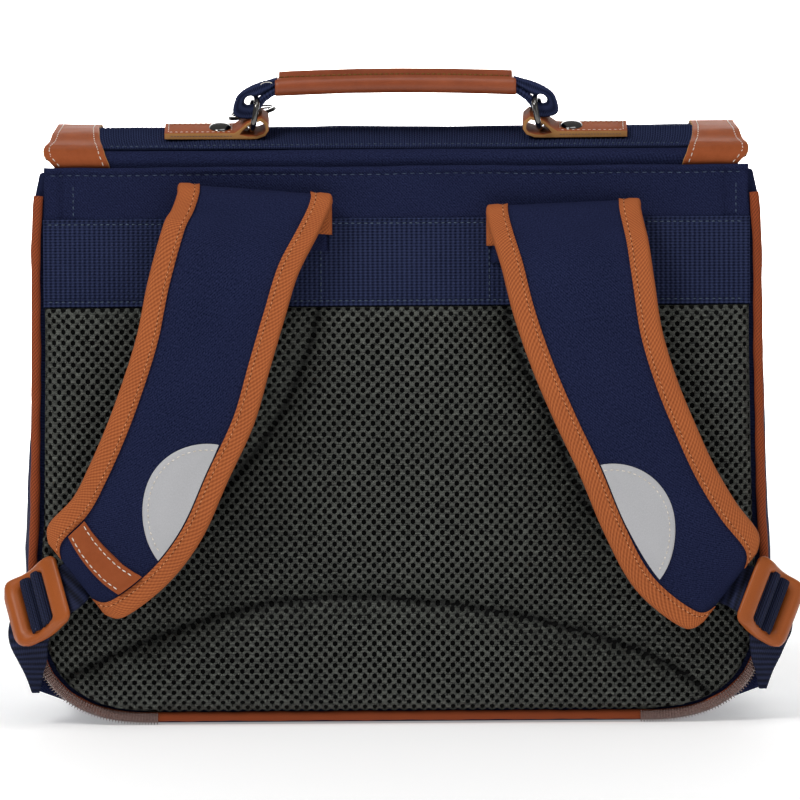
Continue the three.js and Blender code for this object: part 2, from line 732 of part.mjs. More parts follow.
function makeTape(frames, edge) {
  return bodyFromBands(frames.slice(TAPE_START).map((frame) => {
    const half = frame.width / 2 - TAPE_THICK - GAP;
    const line = (lift) => [
      onStrap(frame, edge * (half - TAPE_WIDTH + TAPE_SHORT), lift),
      onStrap(frame, edge * half, lift).addScaledVector(frame.inward, edge * lift),
      onStrap(frame, edge * half, -lift).addScaledVector(frame.inward, edge * lift),
      onStrap(frame, edge * (half - TAPE_WIDTH + TAPE_SHORT), -lift),
    ];
    return { outer: line(TAPE_CLEAR + TAPE_THICK), inner: line(TAPE_CLEAR) };
  }));
}

const TAPE_INNER_EDGE = TAPE_WIDTH - TAPE_SHORT + GAP;
const PATCH_CLEAR = 0.6;        // between the strap's curved face and a flat patch sewn to it

// A half disc of reflective cloth, cut straight along the inner tape
const REFLECTOR_ROW = 11;
const REFLECTOR_UP = 12;
const REFLECTOR_STEPS = 12;
const REFLECTOR_CUT = 0.18;     // the cut runs this share of the radius beyond the disc's centre
const REFLECTOR_TIP = 0.015;    // share of the arc left off at each sharp tip

function makeReflector(frames) {
  const row = frames[REFLECTOR_ROW];
  const place = row.place - REFLECTOR_UP;
  const tapeEdge = (width) => width / 2 - TAPE_THICK - TAPE_INNER_EDGE - 3 * GAP;
  const cutAt = tapeEdge(row.width);
  const discCentre = cutAt + REFLECTOR_RADIUS * REFLECTOR_CUT;
  const open = Math.acos(REFLECTOR_CUT);
  const rows = [];
  for (let k = 0; k <= REFLECTOR_STEPS; k += 1) {
    const turn = mix(-open, open, mix(REFLECTOR_TIP, 1 - REFLECTOR_TIP, k / REFLECTOR_STEPS));
    const frame = strapAt(frames, place + REFLECTOR_RADIUS * Math.sin(turn));
    const near = discCentre - REFLECTOR_RADIUS * Math.cos(turn);
    const cut = Math.min(cutAt, tapeEdge(frame.width));
    const across = [0, 0.33, 0.67, 1].map((share) => mix(near, cut, share));
    rows.push({
      outer: across.map((u) => onStrap(frame, u, PATCH_CLEAR + TRIM_THICK)),
      inner: across.map((u) => onStrap(frame, u, PATCH_CLEAR)),
    });
  }
  return bodyFromBands(rows);
}

// The leather band across the strap just above its end
const LABEL_FROM_END = 16;

function makeLabel(frames) {
  const end = frames.at(-1).place;
  const rows = [];
  for (const share of [0, 0.5, 1]) {
    const frame = strapAt(frames, end - LABEL_FROM_END + LABEL_WIDTH * share);
    const half = frame.width / 2 - TAPE_THICK - TAPE_INNER_EDGE - 2 * GAP;
    const across = [-1, -0.6, -0.2, 0.2, 0.6, 1].map((part) => part * half);
    rows.push({
      outer: across.map((u) => onStrap(frame, u, PATCH_CLEAR + LEATHER)),
      inner: across.map((u) => onStrap(frame, u, PATCH_CLEAR)),
    });
  }
  return bodyFromBands(rows);
}

// Buckles

// Where each buckle sits: its middle from the strap's end, the way from there to its outer bar,
// and the way that its bars run
const BUCKLE_PLACE = {
  left: { fromEnd: vec(-21.6, 6.9, -13.4), length: vec(-0.69, 0.52, -0.50), bars: vec(0.26, -0.38, -0.89) },
  right: { fromEnd: vec(21.7, 6.9, -9.5), length: vec(0.59, 0.62, -0.51), bars: vec(-0.27, -0.27, -0.92) },
};
// The side view of the buckle: along from the inner edge as a share of its length, and height in millimetres
const BUCKLE_TOP_LINE = [
  [0.00, 0.5], [0.035, 2.0], [0.23, 2.2], [0.35, 1.2], [0.50, 0.4], [0.64, 0.6], [0.76, 2.2], [0.88, 4.0],
  [0.97, 3.2], [1.00, 0.5],
];
const BUCKLE_UNDER_LINE = [
  [0.98, -2.2], [0.90, -3.2], [0.78, -3.0], [0.64, -4.6], [0.50, -5.0], [0.35, -4.6], [0.20, -2.4], [0.035, -1.8],
];
const WINDOW_START = 8.5;
const WINDOW_END = 26.5;
const BAR_INNER = 13;
const BAR_OUTER = 21;
const BAR_LOW = -1;

function buckleFrame(side) {
  const place = BUCKLE_PLACE[side];
  const along = place.length.clone().normalize();
  const bars = place.bars.clone().addScaledVector(along, -place.bars.dot(along)).normalize();
  const face = vec().crossVectors(along, bars).multiplyScalar(-SIGN[side]);
  const strapEnd = strapFrames(side).at(-1).centre;
  const start = strapEnd.clone().add(place.fromEnd).addScaledVector(along, -BUCKLE_LENGTH / 2);
  return { along, bars, face, start };
}

function atBuckle(frame, along, height, across = 0) {
  return frame.start.clone()
    .addScaledVector(frame.along, along)
    .addScaledVector(frame.face, height)
    .addScaledVector(frame.bars, across);
}

function makeBuckle(side) {
  const sideView = [...BUCKLE_TOP_LINE, ...BUCKLE_UNDER_LINE];
  const outline = sideView.map(([share, height]) => [share * BUCKLE_LENGTH, height]);
  const windowLength = WINDOW_END - WINDOW_START;
  const opening = new THREE.BoxGeometry(windowLength, 20, WINDOW_WIDTH)
    .translate(WINDOW_START + windowLength / 2, 0, 0);
  let body = solid(plate(outline, BUCKLE_WIDTH)).subtract(solid(opening));
  const barLength = (WINDOW_WIDTH + BUCKLE_WIDTH) / 2;
  for (const along of [BAR_INNER, BAR_OUTER]) {
    const bar = new THREE.CylinderGeometry(BAR_RADIUS, BAR_RADIUS, barLength, 8)
      .rotateX(Math.PI / 2)
      .translate(along, BAR_LOW, 0);
    body = body.add(solid(bar));
  }
  const frame = buckleFrame(side);
  const across = vec().crossVectors(frame.along, frame.face);
  const placing = new THREE.Matrix4().makeBasis(frame.along, frame.face, across).setPosition(frame.start);
  return fromSolid(body).applyMatrix4(placing);
}

// A flat web through rows that give its centre, the direction of its width, and the width
function makeWeb(rows) {
  return bodyFromBands(rows.map((row, k) => {
    const before = rows[Math.max(k - 1, 0)].centre;
    const after = rows[Math.min(k + 1, rows.length - 1)].centre;
    const along = after.clone().sub(before).normalize();
    const across = row.across.clone().addScaledVector(along, -row.across.dot(along)).normalize();
    const out = vec().crossVectors(along, across);
    const edge = (lift) => [-0.5, 0.5].map((share) => row.centre.clone()
      .addScaledVector(across, share * row.width)
      .addScaledVector(out, lift * WEB_THICK / 2));
    return { outer: edge(1), inner: edge(-1) };
  }));
}

const LOOP_RADIUS = BAR_RADIUS + GAP + WEB_THICK / 2;

// The web's turn round a bar, from under the bar over its far side and back
function loopRound(frame, barAlong, towards) {
  return [-90, -35, 20, 75, 125, 175, 215].map((angle) => {
    const turn = THREE.MathUtils.degToRad(angle);
    const along = barAlong + towards * LOOP_RADIUS * Math.cos(turn);
    return {
      centre: atBuckle(frame, along, BAR_LOW + LOOP_RADIUS * Math.sin(turn)),
      across: frame.bars,
      width: WEB_WIDTH,
    };
  });
}

function towardsBuckle(frame, route) {
  return route.map((row) => ({
    centre: atBuckle(frame, row.along, row.height),
    across: frame.bars,
    width: WEB_WIDTH,
  }));
}

// The strap's web leaves from under the strap's end: back is measured from the end along the strap,
// and then along and height in the buckle's side view
const WEB_UNDER_STRAP = [9, 1];
const STRAP_WEB_ROUTE = [{ along: 1.5, height: -6.4 }, { along: 8, height: -5.4 }];
const WEB_NARROWER = 8;

function makeStrapWeb(side, frames) {
  const frame = buckleFrame(side);
  const end = frames.at(-1).place;
  const under = WEB_UNDER_STRAP.map((back) => {
    const row = strapAt(frames, end - back);
    const centre = row.centre.clone()
      .addScaledVector(row.face, -(strapHalfThick(row, 0) + 2 * PATCH_CLEAR + WEB_THICK / 2));
    return { centre, across: row.inward, width: row.width - 2 * TAPE_WIDTH - WEB_NARROWER };
  });
  return makeWeb([...under, ...towardsBuckle(frame, STRAP_WEB_ROUTE), ...loopRound(frame, BAR_INNER, 1)]);
}

// The lower web's route below the buckle on the left, mirrored on the right: out is from the box's widest line,
// back is off the back panel, up from the base; across is the direction of its width
const LOWER_WEB_ROUTE = [
  { out: -2.3, back: 0.4, up: 18, across: [0.80, -0.30, -0.40], width: 6 },
  { out: -0.1, back: 2.2, up: 28, across: [0.80, -0.40, -0.35], width: 11 },
  { out: 3.3, back: 4.4, up: 38, across: [0.75, -0.50, -0.40], width: 18 },
  { out: 6.3, back: 6.0, up: 48, across: [0.60, -0.50, -0.60], width: 24 },
];

const LOWER_WEB_END = [{ along: 33, height: -6.6 }, { along: 27, height: -6.2 }];

function mirrored(side, [x, y, z]) {
  return vec(-SIGN[side] * x, y, z);
}

function makeLowerWeb(side) {
  const frame = buckleFrame(side);
  const route = LOWER_WEB_ROUTE.map((row) => ({
    centre: mirrored(side, [-(BODY_HALF + row.out), -(HALF_DEPTH + row.back), row.up]),
    across: mirrored(side, row.across),
    width: row.width,
  }));
  return makeWeb([...route, ...towardsBuckle(frame, LOWER_WEB_END), ...loopRound(frame, BAR_OUTER, -1)]);
}

// The folded triangle sewn to the gusset's corner that holds the lower web
const ANCHOR_THICK = 2.4;
const ANCHOR_LEVELS = [12, 20, 30, 38];
const ANCHOR_OUTER_LINE = [[1.5, 38], [0.1, 28], [-2.0, 18]];   // out from the box's widest line, and height

function makeAnchor(side) {
  const inner = ANCHOR_LEVELS.map((z) => [outlineHalf(z) + 2 * GAP, z]);
  const outer = ANCHOR_OUTER_LINE.map(([out, z]) => [BODY_HALF + out, z]);
  const outline = [...inner, ...outer].map(([x, z]) => [SIGN[side] * x, z]);
  return standingPlate(outline, ANCHOR_THICK).translate(0, -(HALF_DEPTH - BACK_EDGE + ANCHOR_THICK / 2 + GAP), 0);
}

// The handle

const LID_AT_HANDLE = lidAt(lidPlaceAtDepth(-HANDLE_BACK), GAP + LID_WEB_THICK + GAP);
const TAB_SEAT = 0.25;          // the tilted tab clears the lid's curve by this
const TAB_BASE = LID_AT_HANDLE.z + TAB_SEAT;
const RING_LOW = TAB_BASE + LEATHER + 2 * GAP + RING_WIRE / 2;
const RING_MIDDLE = RING_LOW + RING_HALF_HEIGHT;
const RING_TOP = RING_MIDDLE + RING_HALF_HEIGHT;
const GRIP_ABOVE_RING = 3;
const GRIP_FLOOR = RING_TOP + GRIP_ABOVE_RING;

// The grip's section: across and height above the hollow's floor, outside and inside
const GRIP_OUTSIDE = [
  [-2, 10.3], [2, 10.3], [2.2, 8.2], [7, 7.8], [10.2, 5.2], [9.8, -1.0], [4, -1.9], [-4, -1.9], [-9.8, -1.0],
  [-10.2, 5.2], [-7, 7.8], [-2.2, 8.2],
];
const GRIP_INSIDE = [
  [-1.2, 6.4], [1.2, 6.4], [3, 6.4], [6.5, 6.2], [8.3, 5.0], [8.1, 0.1], [3.5, 0], [-3.5, 0], [-8.1, 0.1],
  [-8.3, 5.0], [-6.5, 6.2], [-3, 6.4],
];
const GRIP_STATIONS = [-1, -0.6, -0.2, 0.2, 0.6, 1];

function archLift(x) {
  return GRIP_ARCH * (1 - (x / GRIP_HALF) ** 2);
}

function makeGrip() {
  const ring = (station, section) => {
    const x = station * GRIP_HALF;
    return section.map(([across, height]) => vec(x, across - HANDLE_BACK, GRIP_FLOOR + height + archLift(x)));
  };
  const outside = GRIP_STATIONS.map((station) => ring(station, GRIP_OUTSIDE));
  const inside = [...GRIP_STATIONS].reverse().map((station) => ring(station, GRIP_INSIDE));
  return bodyFromRings([...outside, ...inside], true);
}

// Right half of the handle webbing: out from the ring line, up from the ring's top bar; core lines up with the grip
const LOOP_OUTSIDE = [
  [-3.6, 8.0], [3.4, 4.8], [8.6, -0.3], [10.9, -5.6], [9.6, -9.0], [5.6, -10.0], [0.2, -9.2], [-5.0, -5.4],
  [-8.9, 0.2],
];
const LOOP_HOLE = [
  [-2.6, 2.2], [0.9, 2.6], [4.0, 0.6], [6.2, -2.8], [6.4, -5.2], [4.4, -6.2], [0.9, -5.6], [-3.0, -3.2], [-4.6, 0.2],
];
const CORE_LOW = 0.4;
const CORE_HIGH = 4.8;
const CORE_STATIONS = [1.01, 0.6, 0.2];

function makeHandleWebbing() {
  const fromRing = ([x, z]) => [RING_SIDE + x, RING_TOP + z];
  const core = (height) => CORE_STATIONS.map((station) => {
    const x = station * GRIP_HALF;
    return [x, GRIP_FLOOR + height + archLift(x)];
  });
  const topHalf = core(CORE_HIGH).reverse();
  const half = [...topHalf, ...LOOP_OUTSIDE.map(fromRing), ...core(CORE_LOW)];
  const mirror = half.map(([x, z]) => [-x, z]).reverse();
  const hole = LOOP_HOLE.map(fromRing);
  const webbing = standingPlate([...half, ...mirror], HANDLE_WEB_WIDTH, [hole, hole.map(([x, z]) => [-x, z])]);
  return webbing.translate(0, -HANDLE_BACK, 0);
}

// A closed ring of wire on an oval in the plane of two directions; power 2 is an ellipse, more is squarer
function wireRing(centre, first, second, section, steps, power = 2) {
  const squared = (value) => Math.sign(value) * Math.abs(value) ** (2 / power);
  const line = [];
  for (let k = 0; k < steps; k += 1) {
    const turn = (2 * Math.PI * k) / steps;
    line.push(centre.clone()
      .addScaledVector(first, squared(Math.cos(turn)))
      .addScaledVector(second, squared(Math.sin(turn))));
  }
  const normal = vec().crossVectors(first, second).normalize();
  const rings = line.map((middle, k) => {
    const along = line[(k + 1) % steps].clone().sub(line[(k + steps - 1) % steps]).normalize();
    const out = vec().crossVectors(along, normal);
    return section.map(([a, b]) => middle.clone().addScaledVector(out, a).addScaledVector(normal, b));
  });
  return bodyFromRings(rings, true);
}

function makeHandleRing(side) {
  const sign = SIGN[side];
  const round = [0, 1, 2, 3, 4, 5].map((k) => {
    const turn = (Math.PI * k) / 3;
    return [RING_WIRE / 2 * Math.cos(turn), RING_WIRE / 2 * Math.sin(turn)];
  });
  const centre = vec(sign * RING_SIDE, -HANDLE_BACK, RING_MIDDLE);
  const upright = vec(-sign * RING_LEAN, 0, RING_HALF_HEIGHT);
  return wireRing(centre, vec(0, RING_HALF_DEPTH, 0), upright, round, 20, RING_POWER);
}

// The folded leather tab from the side: out from the ring line and up from the tab's base
const TAB_THICK = 3.5;          // two layers of leather
const TAB_END = 45.5;
const TAB_OUTSIDE = [
  [TAB_END, 0.2], [TAB_END, TAB_THICK], [9.6, TAB_THICK], [6.2, 5.8], [3.0, 8.6], [-0.8, 10.2], [-4.6, 11.2],
  [-7.8, 8.6], [-8.3, 4.6], [-6.4, 1.7], [-2.2, 0.1], [2.4, 0],
];
const TAB_HOLE = [
  [6.6, 2.6], [5.2, 4.5], [2.2, 7.1], [-0.9, 8.5], [-4.1, 9.3], [-6.2, 7.4], [-6.5, 4.5], [-5.2, 2.9], [-1.9, 1.8],
  [2.6, 1.7],
];

function placeTab(piece, side) {
  piece.position.set(SIGN[side] * RING_SIDE, -HANDLE_BACK, TAB_BASE);
  piece.rotation.x = THREE.MathUtils.degToRad(TAB_TILT);
}

function makeTab(side) {
  const flip = ([x, z]) => [SIGN[side] * x, z];
  return standingPlate(TAB_OUTSIDE.map(flip), TAB_WIDTH, [TAB_HOLE.map(flip)]);
}

const RIVET_OUT = 17;
const DOME_STEPS = 4;

function makeRivet(side) {
  const profile = [new THREE.Vector2(0, 0)];
  for (let k = 0; k < DOME_STEPS; k += 1) {
    const turn = (Math.PI / 2) * (k / DOME_STEPS);
    profile.push(new THREE.Vector2(RIVET_RADIUS * Math.cos(turn), RIVET_HEIGHT * Math.sin(turn)));
  }
  profile.push(new THREE.Vector2(0, RIVET_HEIGHT));
  return new THREE.LatheGeometry(profile, 14)
    .rotateX(Math.PI / 2)
    .translate(SIGN[side] * RIVET_OUT, 0, TAB_THICK + GAP);
}

function makeSplitRing() {
  const bandHalf = SPLIT_RING_BAND / 2;
  const section = [[bandHalf, bandHalf], [-bandHalf, bandHalf], [-bandHalf, -bandHalf], [bandHalf, -bandHalf]];
  const behindWebbing = -HANDLE_BACK + HANDLE_WEB_WIDTH / 2 + GAP;
  const radius = SPLIT_RING_RADIUS - bandHalf;
  const centre = vec(-RING_SIDE + SPLIT_RING_SHIFT, behindWebbing + SPLIT_RING_RADIUS, RING_MIDDLE);
  const tilt = THREE.MathUtils.degToRad(SPLIT_RING_TILT);
  const sideways = vec(radius * Math.cos(tilt), 0, radius * Math.sin(tilt));
  return wireRing(centre, sideways, vec(0, radius, 0), section, 24);
}

// Plain clasps over the flap's lower edge

const CLASP_HALF = 17;
const CLASP_SIDE = 0.5;         // share of LID_HALF
const CLASP_ABOVE = 30;         // from the flap's edge up
const CLASP_BELOW = 18;
const CLASP_THICK = 3.8;
const CLASP_ROUND = 2;
const CLASP_CLEAR = 0.8;

function makeClasp(side) {
  const edge = LID_LINE.at(-1);
  const flapFace = edge.y + GAP + CLASP_CLEAR;
  const frontFace = HALF_DEPTH + FRONT_BULGE + GAP;
  const [high, low, step] = [edge.z + CLASP_ABOVE, edge.z - CLASP_BELOW, edge.z - CLASP_CLEAR];
  const outline = [
    [flapFace, high], [flapFace + CLASP_THICK, high - CLASP_ROUND], [flapFace + CLASP_THICK, low + 2 * CLASP_ROUND],
    [flapFace + CLASP_THICK - CLASP_ROUND, low], [frontFace, low], [frontFace, step], [flapFace, step],
  ];
  return plate(outline, 2 * CLASP_HALF)
    .rotateX(Math.PI / 2)
    .rotateZ(Math.PI / 2)
    .translate(SIGN[side] * CLASP_SIDE * LID_HALF, 0, 0);
}

// The whole bag

addPiece('body_shell', makeBodyShell(), navyTwill);
addPiece('lid_flap', makeLidFlap(), navyTwill);
addPiece('back_pad', makeBackPad(), meshCloth);
addPiece('yoke_panel', makeYokePanel(), navyTwill);
addPiece('yoke_webbing', makeYokeWebbing(), navyWebbing);
addPiece('edge_piping', makePiping(), tanTape);
addPiece('lid_webbing', makeLidWebbing(), navyWebbing);
addPiece('handle_grip', makeGrip(), tanLeather);
addPiece('handle_webbing', makeHandleWebbing(), navyWebbing);
addPiece('split_ring', makeSplitRing(), blackNickel);

for (const side of ['left', 'right']) {
  const frames = strapFrames(side);
  addPiece(`corner_guard_${side}`, makeGuard(SIGN[side]), clearPlastic);
  addPiece(`lid_band_${side}`, makeLidBand(SIGN[side]), tanLeather);
  addPiece(`shoulder_strap_${side}`, makeStrap(frames), navyTwill);
  addPiece(`strap_binding_${side}_outer`, makeTape(frames, -1), tanTape);
  addPiece(`strap_binding_${side}_inner`, makeTape(frames, 1), tanTape);
  addPiece(`reflector_${side}`, makeReflector(frames), reflective);
  addPiece(`strap_web_${side}`, makeStrapWeb(side, frames), navyWebbing);
  addPiece(`buckle_${side}`, makeBuckle(side), tanPlastic);
  addPiece(`lower_web_${side}`, makeLowerWeb(side), navyWebbing);
  addPiece(`web_anchor_${side}`, makeAnchor(side), navyTwill);
  addPiece(`handle_ring_${side}`, makeHandleRing(side), blackNickel);
  placeTab(addPiece(`handle_tab_${side}`, makeTab(side), tanLeather), side);
  placeTab(addPiece(`tab_rivet_${side}`, makeRivet(side), blackNickel), side);
  addPiece(`flap_clasp_${side}`, makeClasp(side), tanPlastic);
}
addPiece('strap_label', makeLabel(strapFrames('left')), tanLeather);

export default bag;
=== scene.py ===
"""School satchel carried on the back, standing on its base. Sizes in the tables are in millimetres."""

import math

import bmesh
import bpy
from mathutils import Matrix, Vector, noise


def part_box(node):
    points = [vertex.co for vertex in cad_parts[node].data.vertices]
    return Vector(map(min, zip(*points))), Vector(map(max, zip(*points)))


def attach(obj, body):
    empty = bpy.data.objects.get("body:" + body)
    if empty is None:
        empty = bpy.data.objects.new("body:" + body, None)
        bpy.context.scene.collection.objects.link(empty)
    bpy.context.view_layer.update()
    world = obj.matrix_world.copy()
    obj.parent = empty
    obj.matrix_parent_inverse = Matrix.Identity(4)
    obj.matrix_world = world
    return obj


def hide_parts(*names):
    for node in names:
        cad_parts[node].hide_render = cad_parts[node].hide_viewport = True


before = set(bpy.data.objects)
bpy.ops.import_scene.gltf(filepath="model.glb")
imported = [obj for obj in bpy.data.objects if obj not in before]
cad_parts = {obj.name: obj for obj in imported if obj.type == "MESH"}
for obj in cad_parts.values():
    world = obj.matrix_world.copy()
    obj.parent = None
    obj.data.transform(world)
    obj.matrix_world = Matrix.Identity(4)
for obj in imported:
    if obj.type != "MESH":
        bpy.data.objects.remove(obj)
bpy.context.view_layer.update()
scene = bpy.context.scene
MM = 0.001
SIDES = ((-1, "left"), (1, "right"))

# Sizes of the box
BODY_HALF = 190.5
BODY_HEIGHT = 286.0
HALF_DEPTH = 70.0
CORNER_WIDE = 65.0
CORNER_TALL = 60.0
CORNER_POWER = 2.6
BACK_EDGE = 5.0
FRONT_EDGE = 10.0
WALL = 3.0
PIPING_RADIUS = 2.4
PIPING_INSET = 2.5
PIPING_LIFT = 3.9
PIPING_Y = -(HALF_DEPTH + PIPING_RADIUS + 0.3)
PIPING_TOP = BODY_HEIGHT * 0.953
BAND_TOP = 260.3
BAND_HEIGHT = 45.0
BAND_FACE = -(HALF_DEPTH + 2.6)


def mix(low, high, share):
    return low + (high - low) * share


def clamp(value, low=0.0, high=1.0):
    return max(low, min(high, value))


def ease(value):
    value = clamp(value)
    return value * value * (3 - 2 * value)


def read_table(rows, key, place, column):
    """The value of a column at any place between the rows."""
    if place <= rows[0][key]:
        return rows[0][column]
    for before, after in zip(rows, rows[1:]):
        if place <= after[key]:
            share = (place - before[key]) / (after[key] - before[key])
            return mix(before[column], after[column], share)
    return rows[-1][column]


def table(columns, *rows):
    """Rows of numbers with a name for each column."""
    return [dict(zip(columns.split(), row)) for row in rows]


def ripple(x, y, z, size, seed=0.0):
    """Smooth random value from about -1 to 1 that changes over a size."""
    return noise.noise(Vector((x / size + seed, y / size - seed, z / size + 2 * seed)))


def tangent(points, k):
    """The direction of a line of points at one of them."""
    return (points[min(k + 1, len(points) - 1)] - points[max(k - 1, 0)]).normalized()


def distances(points):
    """How far along a line of points each one lies."""
    travelled = [0.0]
    for before, after in zip(points, points[1:]):
        travelled.append(travelled[-1] + (after - before).length)
    return travelled


def flat_section(u, columns):
    """Place across from -1 to 1 of a point round a flat section, and whether it is on the top."""
    step = round(u * 2 * columns) % (2 * columns)
    if step <= columns:
        return mix(-1, 1, step / columns), True
    return mix(1, -1, (step - columns) / columns), False


# Nodes

class Net:
    """Adds nodes to one tree and links them."""

    def __init__(self, tree):
        self.tree = tree

    def add(self, kind, inputs=None, **settings):
        node = self.tree.nodes.new(kind)
        for name, value in settings.items():
            setattr(node, name, value)
        for name, value in (inputs or {}).items():
            if isinstance(value, bpy.types.NodeSocket):
                self.tree.links.new(value, node.inputs[name])
            else:
                node.inputs[name].default_value = value
        return node

    def math(self, operation, first, second=0.0, third=0.0):
        node = self.add("ShaderNodeMath", {0: first, 1: second, 2: third}, operation=operation)
        return node.outputs[0]

    def total(self, base, *parts):
        """A base value plus every part times its share."""
        for part, share in parts:
            base = self.math("MULTIPLY_ADD", part, share, base)
        return base

    def wave(self, vector, across, along):
        """Sine of a point's place, with so many turns a metre across and along."""
        turns = (2 * math.pi * across, 2 * math.pi * along, 0.0)
        dot = self.add("ShaderNodeVectorMath", {0: vector, 1: turns}, operation="DOT_PRODUCT")
        return self.math("SINE", dot.outputs["Value"])

    def noise(self, vector, scale, detail=2.0, roughness=0.5):
        node = self.add("ShaderNodeTexNoise", {"Vector": vector, "Scale": scale, "Detail": detail,
                                               "Roughness": roughness})
        return node.outputs["Fac"]

    def blend(self, share, first, second):
        node = self.add("ShaderNodeMix", {0: share, 6: first, 7: second}, data_type="RGBA")
        return node.outputs[2]


def detail_group(name, build):
    """A node group that turns a place in metres into a height, a tone and a patchiness from 0 to 1. Where a
    finish gives its height as its tone, the tone is painted shade in the hollows and painted highlight on the
    raised parts.
    """
    tree = bpy.data.node_groups.new(name, "ShaderNodeTree")
    tree.interface.new_socket("Place", in_out="INPUT", socket_type="NodeSocketVector")
    for socket in ("Height", "Tone", "Patches"):
        tree.interface.new_socket(socket, in_out="OUTPUT", socket_type="NodeSocketFloat")
    net = Net(tree)
    place = tree.nodes.new("NodeGroupInput").outputs["Place"]
    height, tone = build(net, place)
    patches = net.noise(place, 28.0, 4.0, 0.6)
    net.add("NodeGroupOutput", {"Height": height, "Tone": tone, "Patches": patches})
    return tree


def fine_twill(net, place):
    """Fine slanting ribs, broken up by the threads across them."""
    fibre = net.noise(place, 1300.0, 3.0, 0.7)
    height = net.total(-0.72, (fibre, 2.2), (net.wave(place, 640.0, 700.0), 0.14))
    # The tone is the height: random fibre tone, with painted shade in the hollows between the ribs and
    # painted highlight on their tops.
    return height, height


def coarse_webbing(net, place):
    """Thick yarns in pairs that go over and under, with a slant that turns from row to row."""
    weave = net.math("MULTIPLY", net.wave(place, 200.0, 330.0), net.wave(place, -200.0, 330.0))
    height = net.total(0.5, (weave, 0.42), (net.wave(place, 400.0, 0.0), 0.06),
                       (net.noise(place, 1300.0), 0.22))
    # The tone is the height: painted highlight on the raised yarns and painted shade in the gaps between
    # them.
    return height, height


def ribbed_tape(net, place):
    """A narrow tape with slanting ribs, each broken into short floats."""
    height = net.total(0.42, (net.wave(place, 560.0, 620.0), 0.28), (net.wave(place, 700.0, -300.0), 0.10),
                       (net.noise(place, 1600.0), 0.3))
    # The tone is the height: painted highlight on the raised ribs and painted shade between them.
    return height, height


def knitted_yarn(net, place):
    """Looped shiny yarn, with painted highlight on its crossings and painted shade between them."""
    loops = net.math("SUBTRACT", net.noise(place, 1500.0, 3.0, 0.7), 0.38)
    crossing = net.math("MULTIPLY", net.wave(place, 400.0, 355.0), net.wave(place, -400.0, 355.0))
    height = net.total(net.math("MULTIPLY", loops, 2.6), (crossing, 0.18))
    return height, height


def crosswise_ribs(net, place):
    """A web with strong ribs across it."""
    height = net.total(0.5, (net.wave(place, 0.0, 560.0), 0.36), (net.wave(place, 760.0, 280.0), 0.16))
    # The tone is the height: painted highlight on the raised ribs and painted shade between them.
    return height, height


def leather_grain(net, place):
    """Small pebbles, pores and a few long creases."""
    cells = net.add("ShaderNodeTexVoronoi", {"Vector": place, "Scale": 900.0}, feature="DISTANCE_TO_EDGE")
    pores = net.noise(place, 2200.0, 3.0, 0.6)
    height = net.total(0.2, (cells.outputs["Distance"], 0.5), (pores, 0.35))
    tone = net.total(0.0, (pores, 0.3), (net.noise(place, 90.0, 5.0, 0.7), 0.7))
    return height, tone


def moulded_skin(net, place):
    """The faint orange peel of moulded plastic or cast metal."""
    scuff = net.noise(place, 1700.0, 4.0, 0.7)
    return net.total(0.0, (scuff, 0.2), (net.noise(place, 420.0), 0.7)), scuff


FINISHES = (fine_twill, coarse_webbing, ribbed_tape, knitted_yarn, crosswise_ribs, leather_grain,
            moulded_skin)
DETAILS = {build: detail_group(build.__name__.replace("_", " "), build) for build in FINISHES}


def surface(name, detail, dark, light, bump, rough, gloss=0.15, patch=0.25, metal=0.0, coat=0.0, alpha=1.0,
            shade=None):
    """A material that runs from dark to light with the tone; shade names an attribute of painted shade that
    darkens the colour.
    """
    material = bpy.data.materials.new(name)
    material.use_nodes = True
    material.node_tree.nodes.clear()
    net = Net(material.node_tree)
    place = net.add("ShaderNodeUVMap", uv_map="Place").outputs["UV"]
    group = net.add("ShaderNodeGroup", node_tree=DETAILS[detail])
    net.tree.links.new(place, group.inputs["Place"])
    share = net.math("MULTIPLY_ADD", group.outputs["Patches"], patch, group.outputs["Tone"])
    share = net.math("SUBTRACT", share, patch / 2)
    if shade:
        # Painted shade: the attribute darkens the colour where its value is high.
        painted_shade = net.add("ShaderNodeAttribute", attribute_name=shade)
        share = net.math("MULTIPLY", share, net.math("SUBTRACT", 1.0, painted_shade.outputs["Fac"]))
    colour = net.blend(share, (*dark, 1.0), (*light, 1.0))
    roughness = net.math("MULTIPLY_ADD", group.outputs["Patches"], 0.25, rough - 0.12)
    normal = net.add("ShaderNodeBump", {"Height": group.outputs["Height"], "Distance": bump * MM,
                                        "Strength": 1.0})
    shader = net.add("ShaderNodeBsdfPrincipled", {
        "Base Color": colour, "Roughness": roughness, "Normal": normal.outputs["Normal"], "Metallic": metal,
        "Specular IOR Level": gloss, "Coat Weight": coat, "Coat Roughness": 0.2, "Alpha": alpha,
    })
    net.add("ShaderNodeOutputMaterial", {"Surface": shader.outputs["BSDF"]})
    return material


# Each finish: its two colours, the depth of its relief in millimetres and its roughness
NAVY_TWILL = surface("navy twill", fine_twill, (0.004, 0.006, 0.022), (0.027, 0.034, 0.094), 0.12, 0.85,
                     gloss=0.04)
